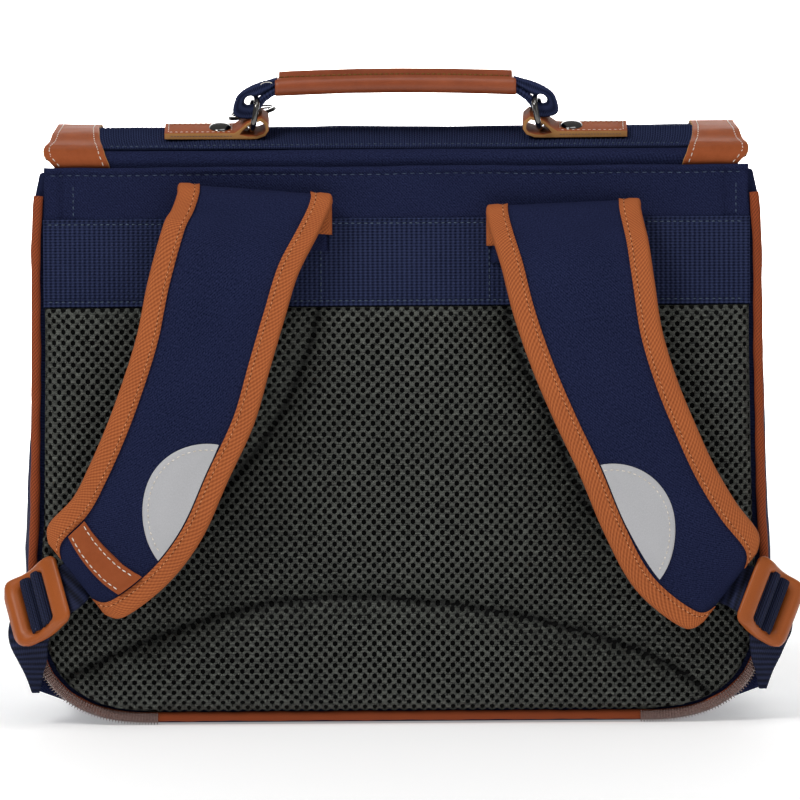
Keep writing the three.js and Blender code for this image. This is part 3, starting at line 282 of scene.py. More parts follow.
# The webbing has no gloss: its light tone is painted sheen on the raised yarns and its near-black dark tone
# is painted shade in the gaps.
NAVY_WEBBING = surface("navy webbing", coarse_webbing, (0.0, 0.0, 0.002), (0.034, 0.044, 0.105), 0.45, 0.9,
                       gloss=0.0)
NAVY_RIBS = surface("navy ribbed web", crosswise_ribs, (0.002, 0.003, 0.010), (0.018, 0.024, 0.066), 0.35,
                    0.7)
TAN_TAPE = surface("tan tape", ribbed_tape, (0.20, 0.045, 0.012), (0.52, 0.150, 0.046), 0.18, 0.8)
TAN_PIPING = surface("tan piping", ribbed_tape, (0.10, 0.018, 0.006), (0.36, 0.078, 0.024), 0.18, 0.8)
TAN_LEATHER = surface("tan leather", leather_grain, (0.15, 0.028, 0.008), (0.38, 0.090, 0.028), 0.05, 0.38,
                      gloss=0.4, patch=0.5)
BAND_LEATHER = surface("band leather", leather_grain, (0.19, 0.040, 0.012), (0.42, 0.115, 0.040), 0.05, 0.6,
                       gloss=0.05, patch=0.4)
RAW_EDGE = surface("raw leather edge", leather_grain, (0.26, 0.110, 0.030), (0.58, 0.300, 0.110), 0.10, 0.85)
TAN_PLASTIC = surface("tan plastic", moulded_skin, (0.29, 0.064, 0.012), (0.42, 0.112, 0.024), 0.03, 0.36,
                      gloss=0.22, patch=0.3)
CLEAR_PLASTIC = surface("clear plastic", moulded_skin, (0.10, 0.055, 0.050), (0.40, 0.250, 0.215), 0.03, 0.25,
                        gloss=0.6, coat=0.15, alpha=0.6)
SILVER_CLOTH = surface("reflective cloth", moulded_skin, (0.34, 0.34, 0.35), (0.58, 0.58, 0.60), 0.03, 0.5,
                       gloss=0.4, patch=0.5)
BLACK_NICKEL = surface("black nickel", moulded_skin, (0.10, 0.096, 0.092), (0.17, 0.164, 0.158), 0.01, 0.11,
                       gloss=0.5, metal=1.0)
WHITE_THREAD = surface("white thread", crosswise_ribs, (0.55, 0.50, 0.43), (0.85, 0.80, 0.73), 0.1, 0.8)
NAVY_THREAD = surface("navy thread", crosswise_ribs, (0.035, 0.050, 0.080), (0.095, 0.130, 0.190), 0.1, 0.6)
TAN_THREAD = surface("tan thread", crosswise_ribs, (0.45, 0.190, 0.085), (0.80, 0.420, 0.220), 0.1, 0.8)
# Dark dots of painted shade that stand for the needle holes between the tape's stitches.
NEEDLE_HOLE_SHADE = surface("needle hole shade", crosswise_ribs, (0.03, 0.008, 0.003), (0.08, 0.020, 0.008), 0.1, 0.9)
OCHRE_THREAD = surface("ochre thread", crosswise_ribs, (0.11, 0.055, 0.010), (0.24, 0.140, 0.035), 0.1, 0.8)
# The mesh yarn's light tone is painted highlight on the yarn's crossings and its near-black dark tone is
# painted shade between them; the sewn attribute adds painted shade along the grooves.
MESH_YARN = surface("mesh yarn", knitted_yarn, (0.003, 0.0035, 0.003), (0.235, 0.250, 0.218), 0.40, 0.5,
                    gloss=0.35, patch=0.2, shade="sewn")
# The cloth under the mesh is near black: painted shade seen through the mesh's holes.
UNDER_MESH_CLOTH_SHADE = surface("cloth under the mesh in painted shade", fine_twill, (0.001, 0.001, 0.001), (0.004, 0.004, 0.004), 0.1,
                    0.95)


# Making pieces from grids

def new_grid(columns, rows, place, size):
    """A grid over u and v from 0 to 1, each point put where place says, with a map of the given size."""
    bm = bmesh.new()
    layer = bm.loops.layers.uv.new("Place")
    bmesh.ops.create_grid(bm, x_segments=columns, y_segments=rows, size=0.5)
    width, length = size
    for face in bm.faces:
        for loop in face.loops:
            spot = loop.vert.co
            loop[layer].uv = ((spot.x + 0.5) * width * MM, (spot.y + 0.5) * length * MM)
    for vert in bm.verts:
        vert.co = place(vert.co.x + 0.5, vert.co.y + 0.5) * MM
    return bm


def finish(bm, name, *materials, replaces=(), slot=None, closed=True, flat_angle=None):
    """Turns a bmesh into a finished piece of the bag."""
    if closed:
        bmesh.ops.remove_doubles(bm, verts=bm.verts, dist=0.01 * MM)
        open_edges = [edge for edge in bm.edges if edge.is_boundary]
        if open_edges:
            bmesh.ops.holes_fill(bm, edges=open_edges)
        bmesh.ops.recalc_face_normals(bm, faces=bm.faces)
    mesh = bpy.data.meshes.new(name)
    bm.to_mesh(mesh)
    bm.free()
    piece = bpy.data.objects.new(name, mesh)
    scene.collection.objects.link(piece)
    for material in materials:
        mesh.materials.append(material)
    mesh.polygons.foreach_set("use_smooth", [True] * len(mesh.polygons))
    if flat_angle is not None:
        mesh.set_sharp_from_angle(angle=math.radians(flat_angle))
    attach(piece, "root")
    if replaces:
        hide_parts(*replaces)
    return piece


def raw_faces(piece, axis, least):
    """Gives the leather's cut edges, which face along an axis, their raw look."""
    piece.data.materials.append(RAW_EDGE)
    for polygon in piece.data.polygons:
        if abs(polygon.normal[axis]) > least:
            polygon.material_index = 1


def soft_copy(node, name, material, slot, width, segments=3, angle=25):
    """A copy of one hard piece with its corners rounded and a map by the way each face looks."""
    bm = bmesh.new()
    bm.from_mesh(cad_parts[node].data)
    bmesh.ops.remove_doubles(bm, verts=bm.verts, dist=0.001 * MM)
    bmesh.ops.dissolve_limit(bm, angle_limit=math.radians(1), verts=bm.verts, edges=bm.edges)
    sharp = [edge for edge in bm.edges if len(edge.link_faces) == 2
             and edge.calc_face_angle() > math.radians(angle)]
    bmesh.ops.bevel(bm, geom=sharp, offset=width * MM, offset_type="OFFSET", segments=segments, profile=0.5,
                    affect="EDGES", clamp_overlap=True, material=-1)
    face_map(bm)
    return finish(bm, name, material, replaces=(node,), slot=slot, flat_angle=40)


def face_map(bm):
    """Maps each face in metres, seen along the axis that it faces most."""
    layer = bm.loops.layers.uv.get("Place") or bm.loops.layers.uv.new("Place")
    for face in bm.faces:
        normal = face.normal
        facing = max(range(3), key=lambda axis: abs(normal[axis]))
        across, up = [axis for axis in range(3) if axis != facing]
        for loop in face.loops:
            loop[layer].uv = (loop.vert.co[across], loop.vert.co[up])


STITCH_STEP = 3.3
STITCH_LENGTH = 2.4
STITCH_WIDE = 0.62
STITCH_SINK = 0.05
STITCH_LEAN = 0.10

threads = {}


def thread_row(material, line, step=STITCH_STEP, wide=STITCH_WIDE, length=STITCH_LENGTH, start=0.5):
    """Adds a row of stitches to its thread, along (point, outward direction) pairs in millimetres."""
    bm = threads.setdefault(material.name, bmesh.new())
    points = [(Vector(point), Vector(out).normalized()) for point, out in line]
    travelled = distances([point for point, _ in points])
    k = 1
    for number in range(int(travelled[-1] / step)):
        place = (number + start) * step
        while k < len(points) - 1 and travelled[k] < place:
            k += 1
        span = max(travelled[k] - travelled[k - 1], 1e-6)
        share = (place - travelled[k - 1]) / span
        (before, out_before), (after, out_after) = points[k - 1], points[k]
        out = out_before.lerp(out_after, share).normalized()
        along = (after - before).normalized()
        out = (out - along * out.dot(along)).normalized()
        side = out.cross(along)
        along = (along + side * STITCH_LEAN * math.sin(number * 2.4)).normalized()
        side = out.cross(along)
        centre = before.lerp(after, share) - out * STITCH_SINK
        turn = Matrix((along, side, out)).transposed().to_4x4()
        spot = Matrix.Translation(centre * MM) @ turn
        scale = Matrix.Diagonal((length / 2 * MM, wide / 2 * MM, wide / 2 * MM, 1.0))
        bmesh.ops.create_icosphere(bm, subdivisions=1, radius=1.0, matrix=spot @ scale)


def wall_back(bm, y):
    """Draws a sheet's open edges back to a plane, as its wall."""
    walls = bmesh.ops.extrude_edge_only(bm, edges=[edge for edge in bm.edges if edge.is_boundary])["geom"]
    for vert in walls:
        if isinstance(vert, bmesh.types.BMVert):
            vert.co.y = y * MM


# The box and its shape functions

# height is a share of BODY_HEIGHT, width of BODY_HALF, bulge is in millimetres
SIDE_ROWS = table(
    "height width bulge",
    (0.00, 0.992, 0.2), (0.06, 0.994, 1.7), (0.21, 0.998, 3.8), (0.30, 1.000, 4.2), (0.37, 0.993, 4.2),
    (0.50, 0.989, 3.3), (0.67, 0.985, 2.1), (0.86, 0.984, 1.3), (0.95, 0.976, 0.4), (1.00, 0.960, 0.0),
)


def outline_half(z, inset=0.0, lift=0.0):
    """Half width of the back panel at a height."""
    full = BODY_HALF * read_table(SIDE_ROWS, "height", z / BODY_HEIGHT, "width") - inset
    if z >= CORNER_TALL:
        return full
    drop = min((CORNER_TALL - z) / (CORNER_TALL - lift), 1.0)
    curve = (1 - drop ** CORNER_POWER) ** (1 / CORNER_POWER)
    return full - (CORNER_WIDE - inset) * (1 - curve)


def corner_turn(half, depth, radius, angles, side):
    """Points of one rounded corner of the box, seen from above."""
    return [(half - radius * (1 - math.sin(turn)), side * (depth - radius * (1 - math.cos(turn))))
            for turn in [math.radians(angle) for angle in angles]]


def box_level(z, inset):
    """Right half of the box's outline at one level, from the back to the front."""
    half = outline_half(z, inset, inset)
    rise = max(z - inset, 0.0)
    drawn_in = BACK_EDGE - math.sqrt(max(BACK_EDGE ** 2 - max(BACK_EDGE - rise, 0.0) ** 2, 0.0))
    depth = HALF_DEPTH - inset - drawn_in
    bulge = read_table(SIDE_ROWS, "height", z / BODY_HEIGHT, "bulge")
    points = [(0.0, -depth), (half * 0.5, -depth)]
    points += corner_turn(half, depth, BACK_EDGE * 0.8, (0, 22, 45, 67, 90), -1)
    points += [(half + bulge * (1 - share ** 2), depth * share)
               for share in (-0.75, -0.5, -0.25, 0, 0.25, 0.5, 0.75)]
    points += corner_turn(half, depth, FRONT_EDGE, (90, 67, 45, 22, 0), 1)
    points += [(half * share, depth + 2.0 * (1 - share ** 2)) for share in (0.75, 0.5, 0.25)]
    return points + [(0.0, depth + 2.0)]


def box_ring(level, share, inset):
    """The whole outline at one level; the rim slopes down to the front and the cloth is softly dented."""
    right = box_level(level, inset)
    ring = right + [(-x, y) for x, y in reversed(right[1:-1])]
    slope = clamp((share - 0.6) / 0.4)
    points = []
    for x, y in ring:
        drop = slope * (2.0 + 22.0 * clamp((y + HALF_DEPTH) / (2 * HALF_DEPTH)))
        soft = ease((y + 62.0) / 20.0) * ease(level / 25.0) * ease((BODY_HEIGHT - level) / 30.0)
        dent = soft * (1.3 * ripple(x, y, level, 46.0) + 0.5 * ripple(x, y, level, 17.0, 3.0)) - 0.3 * soft
        out = Vector((x / BODY_HALF, y / HALF_DEPTH, 0.0)).normalized()
        points.append(Vector((x, y, level - drop)) + out * min(dent, 1.2))
    return points


def build_body():
    lower = [0.0, 0.4, 1.5, 3.0, 5.0, 8.0]
    shares = [level / BODY_HEIGHT for level in lower] + [0.045 + 0.955 * k / 26 for k in range(27)]
    outer = [box_ring(share * BODY_HEIGHT, share, 0.0) for share in shares]
    inner_shares = [share for share in shares if share * BODY_HEIGHT >= WALL]
    inner = [box_ring(share * BODY_HEIGHT, share, WALL) for share in reversed(inner_shares)]
    rim = [[point.lerp(other, share) + Vector((0, 0, 0.7)) for point, other in zip(outer[-1], inner[0])]
           for share in (0.25, 0.75)]
    rings = outer + rim + inner
    around = len(rings[0])

    def place(u, v):
        return rings[round(v * (len(rings) - 1))][round(u * around) % around]

    bm = new_grid(around, len(rings) - 1, place, (1060.0, 600.0))
    finish(bm, "canvas_box", NAVY_TWILL, replaces=("body_shell",), slot="navy_twill")


# Piping and corner guards

SIDE_STEPS = 44
CORNER_STEPS = 26
BASE_STEPS = 40


def piping_line():
    """Centre and outward direction along the piping, from its left top end round to the right one."""
    heights = [mix(PIPING_TOP, CORNER_TALL, k / SIDE_STEPS) for k in range(SIDE_STEPS)]
    for k in range(CORNER_STEPS + 1):
        drop = math.sin(math.pi / 2 * k / CORNER_STEPS) ** (2 / CORNER_POWER)
        heights.append(CORNER_TALL - (CORNER_TALL - PIPING_LIFT) * drop)
    right = [Vector((outline_half(z, PIPING_INSET, PIPING_LIFT), 0, z)) for z in heights]
    low = right[-1].x
    right += [Vector((low * (1 - k / BASE_STEPS), 0, PIPING_LIFT)) for k in range(1, BASE_STEPS)]
    points = [Vector((-p.x, 0, p.z)) for p in right] + [Vector((0, 0, PIPING_LIFT))] + right[::-1]
    line = []
    for k, point in enumerate(points):
        along = tangent(points, k)
        line.append((Vector((point.x, PIPING_Y, point.z)), Vector((along.z, 0, -along.x))))
    return line


def sweep(line, around, section, size, angles=(0.0, 360.0)):
    """A grid round a line of (centre, out) pairs; section gives the radius at an angle and a step."""
    steps = len(line) - 1

    def place(u, v):
        centre, out = line[round(v * steps)]
        angle = math.radians(mix(*angles, u))
        radius = section(angle, v)
        return centre + radius * (out * math.cos(angle) + Vector((0, -1, 0)) * math.sin(angle))

    return new_grid(around, steps, place, size)


def build_piping():
    line = piping_line()
    length = distances([centre for centre, _ in line])[-1]

    def section(angle, v):
        place = v * length
        return PIPING_RADIUS * (1 + 0.04 * math.sin(place / 9.0) + 0.05 * math.sin(place / 3.1 + 2 * angle))

    bm = sweep(line, 14, section, (2 * math.pi * PIPING_RADIUS, length))
    finish(bm, "woven_piping", TAN_PIPING, replaces=("edge_piping",), slot="tan_tape")


GUARD_REACH = 68.0
GUARD_TOP = 38.0
GUARD_RIB = 1.5
RIB_STEPS = 6


def build_guard(side, name):
    """A clear ribbed edge guard over the piping at one bottom corner."""
    steps = [(centre, out) for centre, out in piping_line()
             if centre.x * side > BODY_HALF - GUARD_REACH and centre.z < GUARD_TOP]
    travelled = distances([centre for centre, _ in steps])
    length = travelled[-1]
    count = round(length / (GUARD_RIB / RIB_STEPS))
    line = []
    part = 0
    for k in range(count + 1):
        at = length * k / count
        while part < len(steps) - 2 and travelled[part + 1] < at:
            part += 1
        share = clamp((at - travelled[part]) / max(travelled[part + 1] - travelled[part], 1e-9))
        line.append([before.lerp(after, share) for before, after in zip(steps[part], steps[part + 1])])

    def section(angle, v):
        rib = max(math.sin(2 * math.pi * v * length / GUARD_RIB), -0.2)
        tooth = 0.5 * rib if angle < math.radians(10) else 0.0
        return PIPING_RADIUS + 0.8 + 0.7 * rib + tooth

    bm = sweep(line, 12, section, (12.0, length), angles=(-35.0, 130.0))
    for face in bm.faces:
        face.normal_update()
    bmesh.ops.solidify(bm, geom=bm.faces, thickness=-0.6 * MM)
    finish(bm, f"ribbed_guard_{name}", CLEAR_PLASTIC, replaces=(f"corner_guard_{name}",),
           slot="clear_plastic")


# The back pad with its open mesh

PAD_MARGIN = 7.2
PAD_EDGE = 2.2
PAD_TOP = BAND_TOP - BAND_HEIGHT - 0.5
PAD_BACK = -(HALF_DEPTH + 0.3)
PAD_ROLL = 24.0
PAD_CENTRE = 9.0
PAD_WING = 12.5
PAD_LUMBAR = 15.0
GROOVE_WIDE = 9.0
GROOVE_DEPTH = 0.58
CELL_WIDE = 5.03
CELL_TALL = 2.82
HOLE_WIDE = 1.52                # half of a hole's width
HOLE_TALL = 1.62
CELL_SLANT = 0.9                # how far the cells' corners are drawn up and down
YARN_DEEP = 0.7
CREASE_WIDE = 1.8
CREASE_DEPTH = 0.34

# side is a share of BODY_HALF, height of BODY_HEIGHT
WING_GROOVES = {
    -1: table("side height",
              (-0.206, 0.76), (-0.225, 0.70), (-0.262, 0.632), (-0.31, 0.565), (-0.365, 0.506),
              (-0.472, 0.420), (-0.56, 0.380), (-0.660, 0.352), (-0.940, 0.315)),
    1: table("side height", (0.290, 0.76), (0.306, 0.71), (0.330, 0.659), (0.36, 0.615), (0.397, 0.569),
             (0.455, 0.470), (0.513, 0.386), (0.59, 0.355), (0.680, 0.335), (0.940, 0.300)),
}
LUMBAR_GROOVE = table(
    "side height",
    (-0.900, 0.084), (-0.79, 0.120), (-0.667, 0.156), (-0.51, 0.193), (-0.344, 0.220), (-0.19, 0.229),
    (-0.034, 0.228), (0.16, 0.214), (0.357, 0.190), (0.51, 0.161), (0.650, 0.130), (0.75, 0.096),
    (0.835, 0.054),
)


def groove_distance(rows, x, z):
    nearest = 1e9
    for before, after in zip(rows, rows[1:]):
        ax, az = before["side"] * BODY_HALF, before["height"] * BODY_HEIGHT
        bx, bz = after["side"] * BODY_HALF, after["height"] * BODY_HEIGHT
        dx, dz = bx - ax, bz - az
        share = clamp(((x - ax) * dx + (z - az) * dz) / (dx * dx + dz * dz))
        nearest = min(nearest, math.hypot(x - ax - dx * share, z - az - dz * share))
    return nearest


def pad_half(z):
    return outline_half(z, PAD_MARGIN, PAD_MARGIN)


def groove_distances(x, z):
    """How far a place of the pad is from the nearer wing groove and from the lumbar groove."""
    return groove_distance(WING_GROOVES[-1 if x < 0 else 1], x, z), groove_distance(LUMBAR_GROOVE, x, z)


def pad_height(x, z):
    """How far the pad stands off the back panel."""
    half = pad_half(z)
    border = min(half - abs(x), z - PAD_MARGIN, (PAD_TOP - z) * 2)
    rolled = math.sqrt(max(1 - (1 - clamp(border / PAD_ROLL)) ** 2, 0.0))
    wing_rows = WING_GROOVES[-1 if x < 0 else 1]
    lumbar_line = read_table(LUMBAR_GROOVE, "side", x / BODY_HALF, "height") * BODY_HEIGHT
    wing_line = abs(read_table(wing_rows[::-1], "height", z / BODY_HEIGHT, "side")) * BODY_HALF
    crown = PAD_CENTRE + (PAD_WING - PAD_CENTRE) * ease((abs(x) - wing_line) / 10.0)
    crown = mix(crown, PAD_LUMBAR, ease((lumbar_line - z) / 10.0 + 0.5))
    away = min(groove_distances(x, z))
    groove = GROOVE_DEPTH * math.exp(-((away / GROOVE_WIDE) ** 2))
    sewn = 1 - groove - CREASE_DEPTH * math.exp(-away / CREASE_WIDE)
    soft = 0.45 * ripple(x, 0.0, z, 30.0, 5.0) * rolled
    return PAD_EDGE + (crown - PAD_EDGE) * rolled * sewn + soft * sewn


def pad_point(x, z, lift):
    """A point over the pad's face, raised along the way that the face looks."""
    step = 0.8
    slope_x = (pad_height(x + step, z) - pad_height(x - step, z)) / (2 * step)
    slope_z = (pad_height(x, z + step) - pad_height(x, z - step)) / (2 * step)
    out = Vector((-slope_x, -1.0, -slope_z)).normalized()
    return Vector((x, PAD_BACK - pad_height(x, z), z)) + out * lift


def build_pad_cloth():
    """The cloth and foam under the mesh, coloured near black as painted shade in the mesh's holes."""
    def place(u, v):
        z = mix(PAD_MARGIN + 0.3, PAD_TOP, v)
        x = mix(-1, 1, u) * pad_half(z)
        return Vector((x, PAD_BACK - max(pad_height(x, z) - 1.3, 0.6), z))

    bm = new_grid(100, 64, place, (366.0, 207.0))
    wall_back(bm, PAD_BACK)
    pad = finish(bm, "pad_foam", UNDER_MESH_CLOTH_SHADE, replaces=("back_pad",), slot="spacer_mesh")


def build_pad_mesh():
    """Open knitted mesh: bricks of cloth, each with a round hole, laid over the pad's shape."""
    columns = 2 * math.ceil(BODY_HALF / CELL_WIDE) * 2
    rows = math.ceil((PAD_TOP - PAD_MARGIN) / CELL_TALL)
    half_cell = CELL_WIDE / 2

    def flat(u, v):
        x = (round(u * columns) - columns / 2) * half_cell
        return Vector((x, 0.0, PAD_MARGIN + round(v * rows) * CELL_TALL))

    def odd(vert):
        return (round(vert.co.x / MM / half_cell) + round((vert.co.z / MM - PAD_MARGIN) / CELL_TALL)) % 2

    def past_edge(face):
        centre = face.calc_center_bounds() / MM
        return abs(centre.x) > pad_half(centre.z) + 0.2 * CELL_WIDE

    bm = new_grid(columns, rows, flat, (columns * half_cell, rows * CELL_TALL))
    joins = [edge for edge in bm.edges if abs(edge.verts[0].co.x - edge.verts[1].co.x) < 0.01 * MM
             and odd(min(edge.verts, key=lambda vert: vert.co.z)) and not edge.is_boundary]
    bmesh.ops.dissolve_edges(bm, edges=joins, use_verts=False)
    for vert in bm.verts:
        vert.co.z += CELL_SLANT * MM * (-1 if odd(vert) else 1)
    bmesh.ops.delete(bm, geom=[face for face in bm.faces if past_edge(face)], context="FACES")
    cells = [face for face in bm.faces if len(face.verts) == 6]
    bmesh.ops.inset_individual(bm, faces=cells, thickness=0.3 * MM)
    for face in cells:
        centre = face.calc_center_bounds()
        for vert in face.verts:
            ray = vert.co - centre
            middle = abs(ray.x) < 0.3 * half_cell * MM
            across = 0.0 if middle else math.copysign(math.cos(math.radians(30)), ray.x)
            up = math.copysign(1.0 if middle else 0.5, ray.z)
            grow = (1 + 0.12 * noise.noise(vert.co * 400.0)) * MM
            vert.co = centre + Vector((across * HOLE_WIDE * grow, 0.0, up * HOLE_TALL * grow))
    rims = {vert for face in cells for vert in face.verts}
    bmesh.ops.inset_individual(bm, faces=cells, thickness=0.12 * MM)
    deep = {vert for face in cells for vert in face.verts}
    bmesh.ops.delete(bm, geom=cells, context="FACES_ONLY")
    for vert in bm.verts:
        z = vert.co.z / MM
        x = clamp(vert.co.x / MM, -pad_half(z), pad_half(z))
        lift = -YARN_DEEP if vert in deep else (0.05 if vert in rims else 0.28)
        vert.co = pad_point(x, min(z, PAD_TOP), lift - 0.3) * MM
    loose = [vert for vert in bm.verts if not vert.link_faces]
    bmesh.ops.delete(bm, geom=loose, context="VERTS")
    # Painted shade: the sewn attribute darkens the yarn's colour along the grooves, where the creases fall
    # into shade.
    sewn = bm.verts.layers.float.new("sewn")
    for vert in bm.verts:
        away = min(groove_distances(vert.co.x / MM, vert.co.z / MM))
        vert[sewn] = 0.9 * math.exp(-((away / 1.9) ** 2))
    finish(bm, "pad_mesh", MESH_YARN, slot="spacer_mesh", closed=False)


# Hem and webbing band above the pad

# Creases of the hem: side in millimetres from the middle, how deep and how wide
HEM_FOLDS = table("side deep wide",
                  (-170.5, 1.5, 2.0), (-165.5, 0.9, 3.0), (169.5, 1.5, 2.0), (174.0, 0.9, 2.6))
HEM_STITCH_DROP = 4.0
HEM_STITCH = {"step": 4.4, "length": 3.0, "wide": 0.55}
HEM_FACE_SHARE = 0.86           # this much of the hem's cloth is its face, and the rest rolls over the top
BACK_PANEL = -(HALF_DEPTH + 0.4)


def hem_top(x):
    return BODY_HEIGHT + 0.9 + 0.5 * ripple(x, 0.0, 0.0, 55.0) + 0.25 * ripple(x, 0.0, 0.0, 14.0)


def hem_half(z):
    inner = PIPING_INSET + PIPING_RADIUS + 0.6
    if z < PIPING_TOP:
        return outline_half(z, inner)
    top = outline_half(BODY_HEIGHT) - 2.5
    return mix(outline_half(PIPING_TOP, inner), top, ease((z - PIPING_TOP) / 6.0))


def hem_out(x, z):
    """How far the hem's face stands off the back panel."""
    top = hem_top(x)
    roll = 1.1 * math.exp(-(((top - z) - 1.8) / 1.7) ** 2)
    stitch = -0.5 * math.exp(-(((top - z) - HEM_STITCH_DROP) / 0.8) ** 2)
    folds = sum(-row["deep"] * math.exp(-((x - row["side"]) / row["wide"]) ** 2) for row in HEM_FOLDS)
    soft = 0.35 * ripple(x, 0.0, z, 34.0, 7.0)
    return 2.6 + roll + stitch + folds + soft


def sew_back(face, first, last, count):
    """A row of navy stitches over a face of the back, between two (x, z) ends."""
    line = []
    for k in range(count + 1):
        x, z = mix(first[0], last[0], k / count), mix(first[1], last[1], k / count)
        line.append(((x, -HALF_DEPTH - face(x, z), z), (0, -1, 0)))
    thread_row(NAVY_THREAD, line)


def build_hem():
    low = BAND_TOP - 1.0

    def place(u, v):
        if v <= HEM_FACE_SHARE:
            share = v / HEM_FACE_SHARE
            x = mix(-1, 1, u) * hem_half(mix(low, BODY_HEIGHT + 0.9, share))
            z = mix(low, hem_top(x) - 1.0, share)
            return Vector((x, -HALF_DEPTH - hem_out(x, z), z))
        x = mix(-1, 1, u) * hem_half(BODY_HEIGHT)
        angle = math.pi * clamp((v - HEM_FACE_SHARE) / (1 - HEM_FACE_SHARE))
        top = hem_top(x) - 1.0
        middle = hem_out(x, top) / 2
        return Vector((x, -HALF_DEPTH - middle - middle * math.cos(angle), top + math.sin(angle)))

    bm = new_grid(300, 34, place, (364.0, 28.0))
    wall_back(bm, BACK_PANEL)
    finish(bm, "hem_of_the_back", NAVY_TWILL, replaces=("yoke_panel",), slot="navy_twill")
    line = []
    for k in range(261):
        x = mix(-178, 178, k / 260)
        z = hem_top(x) - HEM_STITCH_DROP
        line.append(((x, -HALF_DEPTH - hem_out(x, z), z), (0, -1, 0)))
    thread_row(NAVY_THREAD, line, **HEM_STITCH)
    for row in HEM_FOLDS[1::2]:
        sew_back(hem_out, (row["side"], BAND_TOP + 1), (row["side"], BODY_HEIGHT - 5), 8)


BAND_ROW = 1.5
BAND_COLUMN = 2.5
BAND_WEAVE = 0.34
BAND_FOOT = BAND_TOP - BAND_HEIGHT
BAND_SEAMS = (-38.8, 47.5)


def band_face(x, z):
    """How far the webbing band's face stands off the back panel."""
    edge = min(BAND_TOP - z, z - BAND_FOOT)
    lip = 0.5 * math.exp(-(edge / 1.2) ** 2)
    dip = -0.35 * math.exp(-((edge - 3.0) / 0.9) ** 2)
    return 2.9 + lip + dip + 0.35 * ripple(x, 0.0, z, 40.0, 9.0)


def build_band():
    half = outline_half(BAND_TOP, PIPING_INSET + PIPING_RADIUS + 0.6)

    def place(u, v):
        x = mix(-half, half, u)
        z = mix(BAND_FOOT, BAND_TOP, v)
        row = math.pi * z / BAND_ROW
        weave = math.sin(2 * math.pi * x / BAND_COLUMN + 1.2 * math.sin(row)) * math.cos(row)
        return Vector((x, -HALF_DEPTH - band_face(x, z) - BAND_WEAVE * weave, z))

    def seam(x, z):
        return band_face(x, z) + 0.1

    bm = new_grid(720, 90, place, (2 * half, BAND_HEIGHT))
    wall_back(bm, BACK_PANEL)
    finish(bm, "back_webbing", NAVY_WEBBING, replaces=("yoke_webbing",), slot="navy_webbing", closed=False)
    for z in (BAND_TOP - 2.6, BAND_FOOT + 2.6):
        sew_back(seam, (-half + 2, z), (half - 2, z), 200)
    for x in BAND_SEAMS:
        sew_back(seam, (x, BAND_FOOT + 3), (x, BAND_TOP - 3), 12)


# The lid

LID_CREST = 301.3
LID_HALF = 180.5
LID_THICK = 3.5
LID_WEB_THICK = 1.5
LEATHER = 1.7
TUCK = -(HALF_DEPTH - WALL - 0.5) / HALF_DEPTH

# The lid's outer face from behind the hem, over the top and down the front: depth is a share of HALF_DEPTH,
# height of LID_CREST, half and band of LID_HALF (the side edge and the leather band's inner edge)
LID_ROWS = table(
    "depth height half band",
    (TUCK, 0.870, 0.945, 0.812), (TUCK, 0.944, 0.958, 0.812), (-0.966, 0.956, 0.972, 0.815),
    (-0.962, 0.970, 1.000, 0.828), (-0.900, 0.980, 1.000, 0.834), (-0.757, 0.985, 0.989, 0.842),
    (-0.600, 0.990, 0.983, 0.848), (-0.286, 0.997, 0.977, 0.853), (0.071, 1.000, 0.975, 0.853),
    (0.429, 0.998, 0.978, 0.853), (0.743, 0.987, 0.986, 0.853), (0.943, 0.966, 0.994, 0.853),
    (1.050, 0.933, 1.000, 0.853), (1.086, 0.870, 1.000, 0.853), (1.097, 0.714, 1.000, 0.853),
    (1.100, 0.548, 0.994, 0.848), (1.097, 0.398, 0.986, 0.842), (1.089, 0.319, 0.950, 0.836),
)
LID_RISE = 2.4
HANDLE_Y = -42.0


def lid_line():
    """The lid's rows in millimetres, each with its distance along the cloth and the way that it faces."""
    points = [Vector((row["depth"] * HALF_DEPTH, row["height"] * LID_CREST)) for row in LID_ROWS]
    rows = []
    for k, travelled in enumerate(distances(points)):
        along = tangent(points, k)
        rows.append({"place": travelled, "y": points[k].x, "z": points[k].y,
                     "out_y": -along.y, "out_z": along.x,
                     "half": LID_ROWS[k]["half"] * LID_HALF, "band": LID_ROWS[k]["band"] * LID_HALF})
    return rows


LID_LINE = lid_line()
LID_LENGTH = LID_LINE[-1]["place"]


def read_lid(place, column):
    return read_table(LID_LINE, "place", place, column)


def lid_out(place):
    return Vector((0.0, read_lid(place, "out_y"), read_lid(place, "out_z")))


def lid_point(x, place, lift):
    """A point over the lid's outer face, with the cloth's soft swells."""
    y, z = read_lid(place, "y"), read_lid(place, "z")
    out = lid_out(place).normalized()
    swell = 0.9 * ripple(x, place, 0.0, 60.0, 11.0) + 0.35 * ripple(x, place, 0.0, 21.0, 4.0)
    swell *= ease((place - 30.0) / 14.0) * ease((LID_LENGTH - place) / 12.0)
    roll = math.exp(-((place - 31.0) / 4.5) ** 2) * (0.4 + 0.9 * ripple(x, 0.0, 0.0, 38.0, 8.0))
    crease = -0.9 * math.exp(-((place - WEB_START + 0.4 + 1.1 * ripple(x, 0.0, 0.0, 52.0, 6.0)) / 1.1) ** 2)
    raised = lid_raise(y) if z > 0.95 * LID_CREST else 0.0
    return Vector((x, y, z + raised)) + out * (lift + min(swell, 0.7) + roll + crease)


def lid_raise(y):
    """How far the sagging cloth lets the lid's top rise behind the tabs' front edges."""
    return LID_RISE * ease((y - HANDLE_Y + 9.0) / 17.0) * ease((60.0 - y) / 40.0)


LID_TOP_ROWS = [row for row in LID_LINE if row["z"] > LID_CREST * 0.975]
WEB_START = read_table(LID_TOP_ROWS, "y", -HALF_DEPTH * 0.9, "place")


